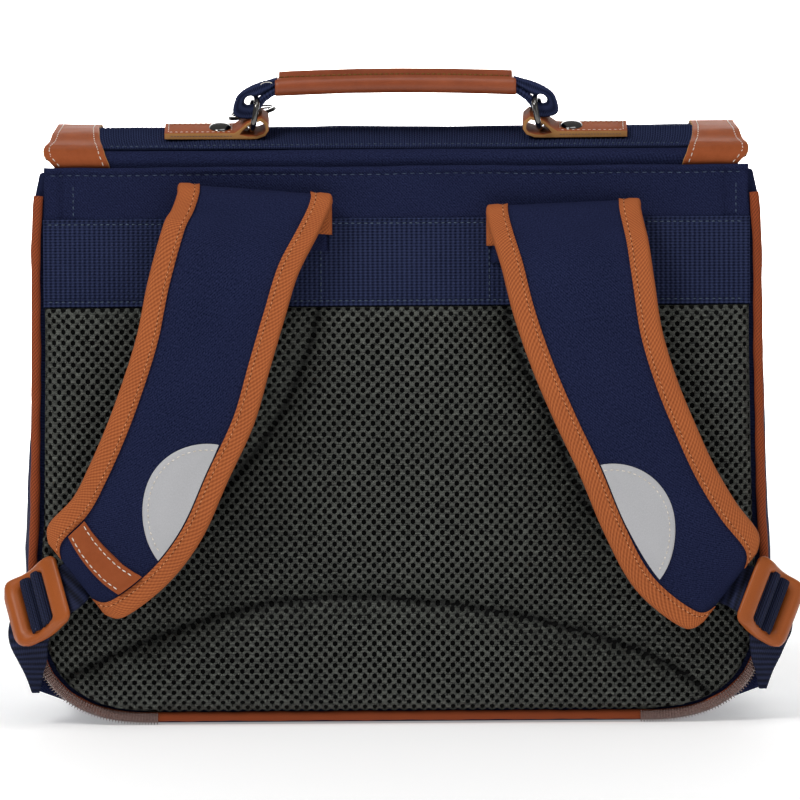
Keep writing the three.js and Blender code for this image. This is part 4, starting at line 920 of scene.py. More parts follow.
def layer_section(thick, edge, columns, under):
    """Across, height and overhang round a layer: its top, an edge, its underside and the other edge."""
    top = [(-1 + 2 * k / columns, thick, 0.0) for k in range(columns + 1)]
    turns = [math.pi * k / 4 for k in range(1, 4)]
    turn = [(1.0, thick * (0.5 + 0.5 * math.cos(angle)), edge * math.sin(angle)) for angle in turns]
    back = [(-x, thick - height, -out) for x, height, out in turn]
    return top + turn + [(1 - 2 * k / under, 0.0, 0.0) for k in range(under + 1)] + back


def build_lid():
    section = layer_section(LID_THICK, 0.9, 24, 24)

    def place(u, v):
        share, height, out = section[round(u * len(section)) % len(section)]
        at = v * LID_LENGTH
        return lid_point(share * (read_lid(at, "half") - 0.9) + out, at, height - LID_THICK)

    bm = new_grid(len(section), 110, place, (720.0, LID_LENGTH))
    finish(bm, "lid_cloth", NAVY_TWILL, replaces=("lid_flap",), slot="navy_twill")


def lid_layer(name, node, material, slot, start, end, thick, sides, columns, rows, weave=0.0):
    """A strip that lies on the lid between two distances; sides gives its edges at each distance."""
    section = layer_section(thick, 0.4, columns, 1)

    def place(u, v):
        share, height, out = section[round(u * len(section)) % len(section)]
        at = mix(start, end, v)
        low, high = sides(at)
        x = mix(low, high, share / 2 + 0.5) + out
        lift = 0.3 + height
        if weave and height == thick:
            slant = 1.2 * math.sin(math.pi * at / BAND_ROW)
            lift += weave * math.sin(2 * math.pi * x / BAND_COLUMN + slant)
        return lid_point(x, at, lift)

    bm = new_grid(len(section), rows, place, (abs(sides(start)[1] - sides(start)[0]) * 2, end - start))
    return finish(bm, name, material, replaces=(node,), slot=slot)


def build_lid_layers():
    def web_sides(at):
        band = read_lid(at, "band") - 0.3
        return -band, band

    lid_layer("lid_webbing_strip", "lid_webbing", NAVY_WEBBING, "navy_webbing", WEB_START,
              WEB_START + BAND_HEIGHT, LID_WEB_THICK, web_sides, columns=500, rows=60, weave=0.3)
    start = LID_LINE[1]["place"] + 2.0
    for side, name in SIDES:
        def band_sides(at, side=side):
            return sorted((side * read_lid(at, "band"), side * read_lid(at, "half")))

        piece = lid_layer(f"leather_band_{name}", f"lid_band_{name}", BAND_LEATHER, "tan_leather", start,
                          LID_LENGTH, LEATHER, band_sides, columns=20, rows=120)
        raw_faces(piece, 0, 0.6)
        for edge, inset in ((0, 2.8), (1, -2.8)):
            line = []
            for k in range(160):
                at = mix(start + 1, LID_LENGTH - 2, k / 159)
                line.append((lid_point(band_sides(at)[edge] + inset, at, 0.3 + LEATHER), lid_out(at)))
            thread_row(WHITE_THREAD, line)
    half = read_lid(WEB_START, "band") - 3
    for at in (WEB_START + 2.2, WEB_START + BAND_HEIGHT - 2.2):
        thread_row(NAVY_THREAD, [(lid_point(mix(-half, half, k / 120), at, 0.4 + LID_WEB_THICK), lid_out(at))
                                 for k in range(121)])


# Shoulder straps

STRAP_WIDTH = 80.0
STRAP_PAD = 9.0
STRAP_ROOT = 3.0
STRAP_EDGE = 4.2
STRAP_BOW = 35.0
TAPE_WIDTH = 11.5
TAPE_THICK = 1.2
FOLD_DEPTH = 9.8
ROOT_REACH = 27.0
ROOT_Y = BAND_FACE - 0.3 - STRAP_ROOT / 2

# height is a share of BODY_HEIGHT, side of BODY_HALF, width of STRAP_WIDTH, bow of STRAP_BOW and thick of
# STRAP_PAD; lean is in degrees
STRAP_ROWS = {
    -1: table("height side width bow thick lean",
              (0.908, 0.405, 0.950, 0.46, 0.85, 9), (0.858, 0.444, 0.913, 0.57, 0.97, 19),
              (0.768, 0.484, 0.900, 0.74, 1.00, 16.5), (0.678, 0.518, 0.870, 0.88, 1.00, 15),
              (0.588, 0.559, 0.875, 0.97, 1.00, 18.5), (0.499, 0.616, 0.845, 1.00, 1.00, 25),
              (0.409, 0.677, 0.850, 0.94, 1.00, 33), (0.341, 0.745, 0.813, 0.86, 1.00, 43),
              (0.288, 0.835, 0.763, 0.77, 0.85, 51), (0.274, 0.861, 0.600, 0.74, 0.60, 52)),
    1: table("height side width bow thick lean",
             (0.889, 0.460, 0.975, 0.48, 0.85, 4), (0.845, 0.478, 0.950, 0.58, 0.97, 9),
             (0.768, 0.501, 0.920, 0.74, 1.00, 12.5), (0.678, 0.535, 0.860, 0.88, 1.00, 17),
             (0.588, 0.584, 0.820, 0.97, 1.00, 21.5), (0.499, 0.642, 0.800, 1.00, 1.00, 24),
             (0.409, 0.700, 0.820, 0.94, 1.00, 31), (0.325, 0.771, 0.845, 0.86, 1.00, 41),
             (0.264, 0.862, 0.775, 0.77, 0.85, 51), (0.252, 0.886, 0.580, 0.74, 0.60, 52)),
}
STRAP_TOP = {
    -1: {"height": 0.956, "side": 0.380, "lean": 4.5},
    1: {"height": 0.929, "side": 0.449, "lean": 2.2},
}
# The sewn end and the fold: drop is a share of ROOT_REACH below the fold's top, away of FOLD_DEPTH
FOLD_ROWS = table("drop away thick", (1.00, 0.00, 0.00), (0.33, 0.00, 0.00), (0.11, 0.26, 0.10),
                  (0.00, 0.62, 0.30), (0.10, 1.00, 0.55))
STRAP_STEPS = 8


def smooth_rows(rows, steps):
    """Rows in between by a smooth curve through each column."""
    out = []
    for k in range(len(rows) - 1):
        four = [rows[max(k - 1, 0)], rows[k], rows[k + 1], rows[min(k + 2, len(rows) - 1)]]
        for part in range(steps):
            t = part / steps
            weights = (-t + 2 * t * t - t ** 3, 2 - 5 * t * t + 3 * t ** 3, t + 4 * t * t - 3 * t ** 3,
                       t ** 3 - t * t)
            out.append({key: sum((w * row[key] for w, row in zip(weights, four)), 0 * rows[0][key]) * 0.5
                        for key in rows[0]})
    return out + [rows[-1]]


def strap_frames(side):
    """The strap's rows from its sewn end over the fold and down, each with the ways that it faces."""
    top = STRAP_TOP[side]
    root = Vector((side * top["side"] * BODY_HALF, ROOT_Y, top["height"] * BODY_HEIGHT))
    rows = [{"centre": root - Vector((0.0, row["away"] * FOLD_DEPTH, row["drop"] * ROOT_REACH)),
             "width": STRAP_WIDTH * 0.985, "thick": mix(STRAP_ROOT, STRAP_PAD, row["thick"]),
             "lean": top["lean"]} for row in FOLD_ROWS]
    rows += [{"centre": Vector((side * row["side"] * BODY_HALF, -HALF_DEPTH - row["bow"] * STRAP_BOW,
                                row["height"] * BODY_HEIGHT)),
              "width": row["width"] * STRAP_WIDTH, "thick": row["thick"] * STRAP_PAD, "lean": row["lean"]}
             for row in STRAP_ROWS[side]]
    fine = smooth_rows(rows, STRAP_STEPS)
    centres = [row["centre"] for row in fine]
    for k, travelled in enumerate(distances(centres)):
        along = tangent(centres, k)
        lean = math.radians(fine[k]["lean"])
        inward = Vector((-side * math.cos(lean), 0, -math.sin(lean)))
        face = along.cross(inward).normalized() * -side
        fine[k].update(along=along, inward=inward, face=face, place=travelled)
    return fine


def strap_half(row):
    return row["width"] / 2 - TAPE_THICK - 0.3


def strap_half_thick(row, across):
    half = strap_half(row)
    edge = min(STRAP_EDGE, row["thick"] * 0.8) / 2
    full = row["thick"] / 2
    share = clamp((abs(across) - 0.3 * half) / (0.7 * half))
    return mix(full, edge, ease(share) ** 0.8)


def on_strap(row, across, height):
    """A point above (positive) or below (negative) the strap's faces."""
    side = 1 if height >= 0 else -1
    reach = side * strap_half_thick(row, across) + height
    soft = 0.5 * ripple(across, row["place"], 0.0, 26.0, 2.0) * ease((row["place"] - 60.0) / 30.0)
    return row["centre"] + row["inward"] * across + row["face"] * (reach + soft)


def strap_at(frames, place):
    k = 1
    while k < len(frames) - 1 and frames[k]["place"] < place:
        k += 1
    before, after = frames[k - 1], frames[k]
    share = (place - before["place"]) / max(after["place"] - before["place"], 1e-6)
    row = {key: before[key].lerp(after[key], share) for key in ("centre", "inward", "face", "along")}
    row.update({key: mix(before[key], after[key], share) for key in ("width", "thick", "place")})
    return row


STRAP_COLUMNS = 36
PUCKER = 0.28


def build_strap(side, name, frames):
    def place(u, v):
        row = frames[round(v * (len(frames) - 1))]
        share, on_top = flat_section(u, STRAP_COLUMNS)
        half = strap_half(row)
        if not on_top:
            return on_strap(row, share * half, -1e-6)
        seam = (abs(share) - 1) * half + TAPE_WIDTH + 0.5
        pucker = PUCKER * math.sin(row["place"] / 1.7 + 3 * side) * math.exp(-(seam / 3.0) ** 2)
        return on_strap(row, share * half, 1e-6) + row["face"] * pucker

    bm = new_grid(2 * STRAP_COLUMNS, len(frames) - 1, place, (150.0, frames[-1]["place"]))
    piece = finish(bm, f"strap_padding_{name}", NAVY_TWILL, replaces=(f"shoulder_strap_{name}",),
                   slot="navy_twill")


TAPE_ROW = 4


def build_tape(side, name, edge, frames):
    """The woven tape folded over one long edge, with a seam near its inner edge on both faces."""
    rows = frames[TAPE_ROW:]
    reach = TAPE_WIDTH - 2.0
    seam = -reach * 0.74
    flat = [-reach * share for share in (1, 0.72, 0.45, 0.2, 0)]
    outline = [(at, 1) for at in flat] + [(angle, 0) for angle in (60, 30, 0, -30, -60)]
    outline += [(at, -1) for at in flat[::-1]]

    def at_outline(row, item, lift):
        """A point of the folded tape: facing is 1 over the strap, -1 under it and 0 round its edge."""
        spot, facing = item
        half = strap_half(row)
        if facing:
            stitch = 0.35 * math.exp(-((spot - seam) / 0.9) ** 2)
            wave = 0.12 * math.sin(row["place"] / 2.6 + spot)
            return on_strap(row, edge * (half + spot), facing * (lift - stitch + wave))
        top = on_strap(row, edge * half, 1e-6)
        under = on_strap(row, edge * half, -1e-6)
        angle = math.radians(spot)
        middle = (top + under) / 2
        rise = (top - under).length / 2
        return (middle + row["face"] * (rise + lift) * math.sin(angle)
                + row["inward"] * edge * (lift + 0.5) * math.cos(angle))

    def place(u, v):
        row = rows[round(v * (len(rows) - 1))]
        count = len(outline)
        step = round(u * 2 * count) % (2 * count)
        if step < count:
            return at_outline(row, outline[step], TAPE_THICK)
        return at_outline(row, outline[2 * count - 1 - step], 0.15)

    length = rows[-1]["place"] - rows[0]["place"]
    around = -56.0 if side * edge > 0 else 56.0
    bm = new_grid(2 * len(outline), len(rows) - 1, place, (around, length))
    label = "outer" if edge < 0 else "inner"
    finish(bm, f"binding_{name}_{label}", TAN_TAPE, replaces=(f"strap_binding_{name}_{label}",),
           slot="tan_tape")
    for facing in (1, -1):
        line = [(on_strap(row, edge * (strap_half(row) + seam), facing * (TAPE_THICK - 0.25)),
                 row["face"] * facing) for row in rows]
        thread_row(TAN_THREAD, line, step=2.7, length=1.5, wide=0.5)
        # The dark dots between the stitches are painted shade in the needle holes.
        thread_row(NEEDLE_HOLE_SHADE, line, step=2.7, length=1.2, wide=0.55, start=1.0)


REFLECTOR_RADIUS = 30.4
REFLECTOR_ROW = 11
REFLECTOR_CUT = 0.155
REFLECTOR_SHIFT = {-1: -12.0, 1: 0.4}


def build_reflector(side, name, frames):
    """A half disc of reflective cloth, cut straight along the inner tape."""
    row = frames[REFLECTOR_ROW * STRAP_STEPS]
    middle = row["place"] + REFLECTOR_SHIFT[side]
    cut_at = strap_half(row) - TAPE_WIDTH + 1.3
    disc = cut_at + REFLECTOR_RADIUS * REFLECTOR_CUT
    opened = math.acos(REFLECTOR_CUT)

    def spot(turn, radius):
        at = strap_at(frames, middle + radius * math.sin(turn))
        return at, disc - radius * math.cos(turn)

    def place(u, v):
        at, near = spot(mix(-opened, opened, mix(0.01, 0.99, v)), REFLECTOR_RADIUS)
        cut = min(cut_at, strap_half(at) - TAPE_WIDTH + 1.3)
        share, on_top = flat_section(u, 20)
        inward = (share + 1) / 2
        height = 0.35 + 0.65 * (1 - math.exp(-inward * 30)) if on_top else 0.25
        return on_strap(at, mix(near, cut, inward), height)

    bm = new_grid(40, 48, place, (66.0, 60.0))
    finish(bm, f"reflective_disc_{name}", SILVER_CLOTH, replaces=(f"reflector_{name}",), slot="reflective",
           flat_angle=50)
    line = []
    for k in range(60):
        at, across = spot(mix(-opened * 0.97, opened * 0.97, k / 59), REFLECTOR_RADIUS - 3.0)
        line.append((on_strap(at, across, 1.05), at["face"]))
    thread_row(WHITE_THREAD, line, step=3.0, length=2.2, wide=0.75)


LABEL_WIDTH = 13.6
LABEL_FROM_END = 25.0
LABEL_BOW = 2.6                 # how far the label's middle is bowed toward the strap's end


def build_label(frames):
    """The leather band across the left strap's end."""
    start = frames[-1]["place"] - LABEL_FROM_END

    def row_at(share, sideways):
        return strap_at(frames, start + LABEL_WIDTH * share + LABEL_BOW * (1 - sideways ** 2))

    def place(u, v):
        share, on_top = flat_section(u, 30)
        at = row_at(v, share)
        rim = min(v, 1 - v) * LABEL_WIDTH
        height = 0.5 + LEATHER * (1 - 0.4 * math.exp(-rim / 0.35)) if on_top else 0.3
        return on_strap(at, share * (strap_half(at) - TAPE_WIDTH + 1.2), height)

    bm = new_grid(60, 16, place, (90.0, LABEL_WIDTH))
    finish(bm, "leather_label", BAND_LEATHER, replaces=("strap_label",), slot="tan_leather", flat_angle=50)
    for share in (0.14, 0.86):
        line = []
        for k in range(31):
            at = row_at(share, mix(-1, 1, k / 30))
            half = strap_half(at) - TAPE_WIDTH
            line.append((on_strap(at, mix(-half, half, k / 30), 0.45 + LEATHER), at["face"]))
        thread_row(WHITE_THREAD, line, step=3.3, length=2.9, wide=0.75)


# Buckles and webs

BUCKLE_LENGTH = 34.5
BAR_RADIUS = 1.8
BAR_INNER = 13.0
BAR_OUTER = 21.0
BAR_LOW = -1.0
WEB_THICK = 1.6
WEB_WIDTH = 25.0
LOOP_RADIUS = BAR_RADIUS + 0.3 + WEB_THICK / 2
BUCKLE_PLACE = {
    -1: (Vector((-185.6, -89, 65)), Vector((-0.69, 0.52, -0.50)), Vector((0.22, -0.46, -0.86))),
    1: (Vector((190.5, -89, 62.6)), Vector((0.59, 0.62, -0.51)), Vector((-0.27, -0.27, -0.92))),
}
LOWER_WEB_ROUTE = table(
    "x y z across_x across_y across_z width",
    (187.0, -73.6, 17, -0.95, -0.10, -0.25, 4), (187.6, -76.2, 26, -0.95, -0.10, -0.25, 9),
    (188.4, -78.6, 35, -0.93, -0.15, -0.30, 16), (190.0, -80.6, 45, -0.85, -0.30, -0.45, 22),
)


def buckle_frame(side):
    middle, length, bars = BUCKLE_PLACE[side]
    along = length.normalized()
    bars = (bars - along * bars.dot(along)).normalized()
    return {"along": along, "bars": bars, "face": along.cross(bars) * -side,
            "start": middle - along * BUCKLE_LENGTH / 2}


def at_buckle(buckle, along, height):
    return buckle["start"] + buckle["along"] * along + buckle["face"] * height


def loop_round(buckle, bar, towards):
    turns = [math.radians(angle) for angle in (-90, -35, 20, 75, 125, 175, 215)]
    return [{"centre": at_buckle(buckle, bar + towards * LOOP_RADIUS * math.cos(turn),
                                 BAR_LOW + LOOP_RADIUS * math.sin(turn)),
             "across": buckle["bars"], "width": 2 * WINDOW_HALF + 2.4} for turn in turns]


def web_rows(rows, steps):
    """The rows of a web with smooth ones in between."""
    fine = smooth_rows(rows, steps)
    centres = [row["centre"] for row in fine]
    for k, travelled in enumerate(distances(centres)):
        along = tangent(centres, k)
        across = fine[k]["across"]
        across = (across - along * across.dot(along)).normalized()
        fine[k].update(place=travelled, across=across, out=along.cross(across))
    return fine


WEB_RIB = 0.12
WEB_PITCH = 1.7
WEB_STEPS = 16
# Across, height and growth round a web's section
WEB_SECTION = [(-1 + 2 * k / 12, 1, 1.0) for k in range(13)] + [(1, 0.4, 1.012), (1, -0.4, 1.012)]
WEB_SECTION += [(1 - 2 * k / 12, -1, 1.0) for k in range(13)] + [(-1, -0.4, 1.012), (-1, 0.4, 1.012)]


def build_web(name, node, rows):
    """A ribbed web through rows of centre, across and width."""
    fine = web_rows(rows, WEB_STEPS)
    count = len(WEB_SECTION)

    def place(u, v):
        row = fine[round(v * (len(fine) - 1))]
        share, height, grow = WEB_SECTION[round(u * count) % count]
        lift = height * WEB_THICK / 2
        if abs(height) == 1:
            turn = 2 * math.pi * (row["place"] + 0.35 * share * row["width"]) / WEB_PITCH
            lift += WEB_RIB * math.sin(turn)
            lift *= 1 - 0.25 * max(abs(share) - 0.85, 0) / 0.15
        return row["centre"] + row["across"] * share * grow * row["width"] / 2 + row["out"] * lift

    bm = new_grid(count, len(fine) - 1, place, (2 * WEB_WIDTH, fine[-1]["place"]))
    finish(bm, name, NAVY_RIBS, replaces=(node,), slot="navy_webbing")


def build_strap_web(side, name, frames):
    buckle = buckle_frame(side)
    end = frames[-1]["place"]
    rows = []
    for back in (9, 1):
        row = strap_at(frames, end - back)
        under = strap_half_thick(row, 0) + 1.2 + WEB_THICK / 2
        rows.append({"centre": row["centre"] - row["face"] * under,
                     "across": row["inward"], "width": row["width"] - 2 * TAPE_WIDTH - 8})
    rows += [{"centre": at_buckle(buckle, along, height), "across": buckle["bars"], "width": WEB_WIDTH}
             for along, height in ((1.5, -6.4), (8, -5.4))]
    rows += loop_round(buckle, BAR_INNER, 1)
    if rows[0]["across"].dot(rows[2]["across"]) < 0:
        rows[0]["across"], rows[1]["across"] = -rows[0]["across"], -rows[1]["across"]
    build_web(f"strap_webbing_{name}", f"strap_web_{name}", rows)


def build_lower_web(side, name):
    buckle = buckle_frame(side)
    rows = [{"centre": Vector((side * row["x"], row["y"], row["z"])),
             "across": Vector((side * row["across_x"], row["across_y"], row["across_z"])),
             "width": row["width"]} for row in LOWER_WEB_ROUTE]
    rows.append({"centre": at_buckle(buckle, 27, -6.2), "across": buckle["bars"], "width": WEB_WIDTH})
    rows += loop_round(buckle, BAR_OUTER, -1)
    build_web(f"side_webbing_{name}", f"lower_web_{name}", rows)


# The handle

GRIP_HALF = 62.0
GRIP_ARCH = 1.5
HANDLE_WEB_WIDTH = 15.0
RING_WIRE = 3.3
RING_SIDE = 73.6
RING_YAW = 1.35
TAB_TILT = 5.0
ring_low, ring_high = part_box("handle_ring_left")
RING_TOP = ring_high[2] / MM - RING_WIRE / 2
RING_BOTTOM = ring_low[2] / MM + RING_WIRE / 2
GRIP_FLOOR = RING_TOP + 3.0

# The grip's section: across and height above the hollow's floor
GRIP_SECTION = table(
    "across height",
    (-1.9, 10.6), (1.9, 10.6), (2.1, 9.0), (2.3, 7.5), (4.6, 7.4), (7.2, 7.0), (9.3, 5.9), (10.2, 4.0),
    (10.3, 1.8), (9.7, -0.6), (7.2, -1.7), (3.5, -1.9), (0.0, -1.9), (-3.5, -1.9), (-7.2, -1.7), (-9.7, -0.6),
    (-10.3, 1.8), (-10.2, 4.0), (-9.3, 5.9), (-7.2, 7.0), (-4.6, 7.4), (-2.3, 7.5), (-2.1, 9.0),
)
GRIP_WALL = 1.7
FLANGE_INSET = 1.9              # the flange starts this far in from the grip's ends
FLANGE_FOOT = 7.6


def arch_lift(x):
    return GRIP_ARCH * (1 - (x / GRIP_HALF) ** 2)


def build_grip():
    middle = 3.2

    def ring(x, shrink):
        points = []
        for row in GRIP_SECTION:
            across, height = row["across"], row["height"]
            soft = 0.16 * ripple(x, across, height, 17.0, 6.0)
            away = Vector((across, height - middle))
            scale = (away.length - shrink + soft) / away.length
            if height > FLANGE_FOOT and (shrink or GRIP_HALF - abs(x) < FLANGE_INSET):
                away = Vector((across, FLANGE_FOOT - middle))
                scale = (away.length - shrink) / away.length
            up = GRIP_FLOOR + middle + away.y * scale + arch_lift(x)
            points.append(Vector((x, HANDLE_Y + away.x * scale, up)))
        return points

    stations = [mix(-1, 1, k / 60) for k in range(61)]
    outside = []
    for k, station in enumerate(stations):
        end = min(k, 60 - k)
        shrink = (0.45, 0.12, 0.0)[min(end, 2)]
        x = station * GRIP_HALF
        if end in (1, 2, 3):
            x = math.copysign(GRIP_HALF - (0.35, FLANGE_INSET - 0.1, FLANGE_INSET + 0.1)[end - 1], station)
        outside.append(ring(x, shrink))
    inside = [ring(station * (GRIP_HALF - 0.1), GRIP_WALL) for station in stations[::-1]]
    rings = outside + inside
    around = len(GRIP_SECTION)

    def place(u, v):
        return rings[round(v * len(rings)) % len(rings)][round(u * around) % around]

    bm = new_grid(around, len(rings), place, (62.0, 2 * GRIP_HALF * 2))
    piece = finish(bm, "leather_grip", TAN_LEATHER, replaces=("handle_grip",), slot="tan_leather",
                   flat_angle=55)
    raw_faces(piece, 0, 0.8)
    for face_side in (-1, 1):
        line = [((x, HANDLE_Y + face_side * 2.6, GRIP_FLOOR + 7.7 + arch_lift(x)), (0, face_side, 0.6))
                for x in [mix(-60, 60, k / 60) for k in range(61)]]
        thread_row(OCHRE_THREAD, line, step=2.7, length=2.6, wide=0.95)


# Right end of the handle webbing, out from the ring line and up from the ring's top bar
LOOP_OUTSIDE = (
    (-12.5, 10.9), (-8.4, 9.7), (-3.5, 8.4), (1.3, 6.5), (5.7, 3.8), (8.4, 1.1), (10.0, -3.2),
    (10.4, -7.0), (9.0, -9.2), (5.5, -10.3), (0.3, -10.2), (-3.0, -6.5), (-6.8, -1.6), (-12.5, 2.4),
)
LOOP_HOLE = (
    (-12.5, 6.6), (-8.0, 4.0), (-5.0, 2.0), (-1.6, 0.6), (0.4, 1.4), (2.6, 1.0), (3.9, -0.4),
    (4.3, -1.9), (3.4, -2.9), (1.8, -3.1), (0.0, -2.7), (-1.6, -0.8), (-4.8, 2.1), (-12.5, 6.7),
)
LOOP_STEPS = 7
LOOP_RIB = 0.10
# Across and depth round the loop's section
LOOP_SECTION = [(-1 + 2 * k / 14, 0.0) for k in range(15)] + [(1.0, 0.25), (1.02, 0.5), (1.0, 0.75)]
LOOP_SECTION += [(1 - 2 * k / 14, 1.0) for k in range(15)] + [(-1.0, 0.75), (-1.02, 0.5), (-1.0, 0.25)]


def build_handle_loop(side, name):
    """A teardrop loop at one end of the handle's webbing."""
    fine = smooth_rows([{"outer": Vector((outer[0], 0, outer[1])), "inner": Vector((inner[0], 0, inner[1]))}
                        for outer, inner in zip(LOOP_OUTSIDE, LOOP_HOLE)], LOOP_STEPS)
    count = len(LOOP_SECTION)

    def place(u, v):
        row = fine[round(v * (len(fine) - 1))]
        outer, inner = row["outer"], row["inner"]
        across, depth = LOOP_SECTION[round(u * count) % count]
        spot = outer.lerp(inner, mix(0.03, 0.97, depth))
        if depth in (0.0, 1.0):
            spot += (outer - inner).normalized() * LOOP_RIB * math.sin(v * len(fine) * 1.9)
            spot = spot.lerp(outer.lerp(inner, 0.5), 0.14 * max(abs(across) - 0.8, 0) / 0.2)
        y = HANDLE_Y + across * HANDLE_WEB_WIDTH / 2
        return Vector((side * (RING_SIDE + spot.x), y, RING_TOP + spot.z))

    bm = new_grid(count, len(fine) - 1, place, (38.0, 92.0))
    finish(bm, f"handle_loop_{name}", NAVY_WEBBING, slot="navy_webbing")


def build_handle_webbing():
    for side, name in SIDES:
        build_handle_loop(side, name)
    line = []
    for k in range(9):
        turn = math.radians(mix(25, 150, k / 8))
        spot = (-(RING_SIDE - 7.6 + 3.8 * math.cos(turn)), HANDLE_Y - HANDLE_WEB_WIDTH / 2 - 0.15,
                RING_TOP + 6.2 + 2.4 * math.sin(turn))
        line.append((spot, (0, -1, 0)))
    thread_row(WHITE_THREAD, line, step=1.3, length=1.7, wide=0.6)
    core = soft_copy("handle_webbing", "handle_core", NAVY_WEBBING, "navy_webbing", 0.4)
    bm = bmesh.new()
    bm.from_mesh(core.data)
    for direction in (-1, 1):
        end = (direction * (GRIP_HALF - 1.5) * MM, 0, 0)
        bmesh.ops.bisect_plane(bm, geom=bm.verts[:] + bm.edges[:] + bm.faces[:], plane_co=end,
                               plane_no=(direction, 0, 0), clear_outer=True)
    bmesh.ops.holes_fill(bm, edges=[edge for edge in bm.edges if edge.is_boundary])
    bm.to_mesh(core.data)
    bm.free()


def oval_ring(centre, first, second, steps, power):
    """Points of a closed oval in the plane of two directions; power 2 is an ellipse, more is squarer."""
    def squared(value):
        return math.copysign(abs(value) ** (2 / power), value)

    turns = [2 * math.pi * k / steps for k in range(steps)]
    return [centre + first * squared(math.cos(turn)) + second * squared(math.sin(turn)) for turn in turns]


def build_ring(name, node, points, normal, section):
    """A closed wire through points; section gives (out, sideways) at a share of the way round it."""
    count = len(points)
    around = 16

    def place(u, v):
        k = round(v * count) % count
        along = (points[(k + 1) % count] - points[(k - 1) % count]).normalized()
        out = along.cross(normal)
        far, wide = section(round(u * around) % around / around, k / count)
        return points[k] + out * far + normal * wide

    bm = new_grid(around, count, place, (10.0, 60.0))
    finish(bm, name, BLACK_NICKEL, replaces=(node,), slot="black_nickel")


COIL_LIFT = 0.58
COIL_LEAN = 0.10


def build_rings():
    middle = (RING_TOP + RING_BOTTOM) / 2
    half = (RING_TOP - RING_BOTTOM) / 2
    for side, name in SIDES:
        first, second = Vector((side * RING_YAW, 14.5, 0)), Vector((-side * 1.4, 0, half))
        points = oval_ring(Vector((side * RING_SIDE, HANDLE_Y, middle)), first, second, 96, 3.4)
        wire = RING_WIRE / 2 * 0.92
        build_ring(f"oval_ring_{name}", f"handle_ring_{name}", points, first.cross(second).normalized(),
                   lambda s, v: (wire * math.cos(2 * math.pi * s), wire * math.sin(2 * math.pi * s)))
    low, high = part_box("split_ring")
    centre = (Vector(low) + Vector(high)) / 2 / MM - Vector((2.8, 0.0, 0.0))
    tilt = math.radians(12)
    radius = 13.0 - 1.1
    first = Vector((math.cos(tilt), 0, math.sin(tilt))) * radius
    second = Vector((0, radius, radius * 0.11))
    points = oval_ring(centre, first, second, 96, 2)
    for number, away in ((1, -1), (2, 1)):
        def section(share, v, away=away):
            turn = 2 * math.pi * share
            lift = away * (COIL_LIFT + COIL_LEAN * math.sin(2 * math.pi * v))
            return (math.copysign(abs(math.cos(turn)) ** 0.6, math.cos(turn)),
                    lift + 0.5 * math.copysign(abs(math.sin(turn)) ** 0.6, math.sin(turn)))

        build_ring(f"split_ring_coil_{number}", "split_ring", points, first.cross(second).normalized(),
                   section)


RIVET_RADIUS = 5.7
RIVET_HEIGHT = 1.7
RIVET_OUT = 17.0
# Shares of the rivet's radius and height
RIVET_PROFILE = ((0.0, 1.0), (0.3, 0.97), (0.55, 0.86), (0.75, 0.68), (0.9, 0.42), (0.985, 0.16), (1.0, 0.0),
                 (0.9, -0.16), (0.0, -0.16))
TAB_WIDTH = 16.5
TAB_SEAM = ((11.0, -6.3), (43.5, -6.3), (43.5, 6.3), (11.0, 6.3), (11.0, -6.3))


def tab_point(side, x, y, height):
    """A point of the tab: out from the ring line, across and up from the tab's base, as the lid slopes."""
    turn = math.radians(TAB_TILT)
    spot = Vector((side * (RING_SIDE + x), HANDLE_Y + y * math.cos(turn) - height * math.sin(turn),
                   tab_base + y * math.sin(turn) + height * math.cos(turn)))
    return spot + Vector((0.0, 0.0, tab_raise(spot.y)))


def tab_raise(y):
    """The tabs ride up with the lid and tip a little further toward the straps."""
    return lid_raise(y) + 0.04 * (y - HANDLE_Y + TAB_WIDTH / 2)


tab_base = RING_BOTTOM - RING_WIRE / 2 - 0.6 - LEATHER


def build_tabs():
    for side, name in SIDES:
        tab = soft_copy(f"handle_tab_{name}", f"leather_tab_{name}", BAND_LEATHER, "tan_leather", 0.35,
                        angle=40)
        for vert in tab.data.vertices:
            vert.co.z += tab_raise(vert.co.y / MM) * MM
        raw_faces(tab, 1, 0.8)
        line = []
        for (x1, y1), (x2, y2) in zip(TAB_SEAM, TAB_SEAM[1:]):
            for k in range(8):
                line.append((tab_point(side, mix(x1, x2, k / 8), mix(y1, y2, k / 8), 3.55), (0, 0, 1)))
        thread_row(WHITE_THREAD, line, step=2.7, length=2.0, wide=0.6)
        line = [(tab_point(side, mix(10.5, 44, k / 12), -TAB_WIDTH / 2 - 0.05, 1.75), (0, -1, 0))
                for k in range(13)]
        thread_row(NAVY_THREAD, line, step=1.6, length=1.7, wide=0.3)

        def place(u, v, side=side):
            turn = 2 * math.pi * u
            share, height = RIVET_PROFILE[round(v * (len(RIVET_PROFILE) - 1))]
            radius = share * RIVET_RADIUS
            return tab_point(side, RIVET_OUT + radius * math.cos(turn), radius * math.sin(turn),
                             3.85 + height * RIVET_HEIGHT)

        bm = new_grid(32, len(RIVET_PROFILE) - 1, place, (36.0, 14.0))
        finish(bm, f"rivet_{name}", BLACK_NICKEL, replaces=(f"tab_rivet_{name}",), slot="black_nickel",
               flat_angle=60)


# The buckle's side view: a share of its length from the inner edge, and the heights of its top and underside
BUCKLE_SIDE_VIEW = table(
    "share top under",
    (0.00, 1.6, -2.2), (0.10, 2.6, -3.2), (0.23, 2.4, -4.4), (0.35, 1.2, -5.6), (0.50, 0.2, -6.0),
    (0.64, 0.6, -5.6), (0.76, 2.4, -4.2), (0.88, 4.4, -3.6), (0.96, 4.0, -3.0), (1.00, 2.6, -2.0),
)
BUCKLE_HALF = 18.8
WINDOW_HALF = 13.6
WINDOW_START = 8.3
WINDOW_END = 26.2


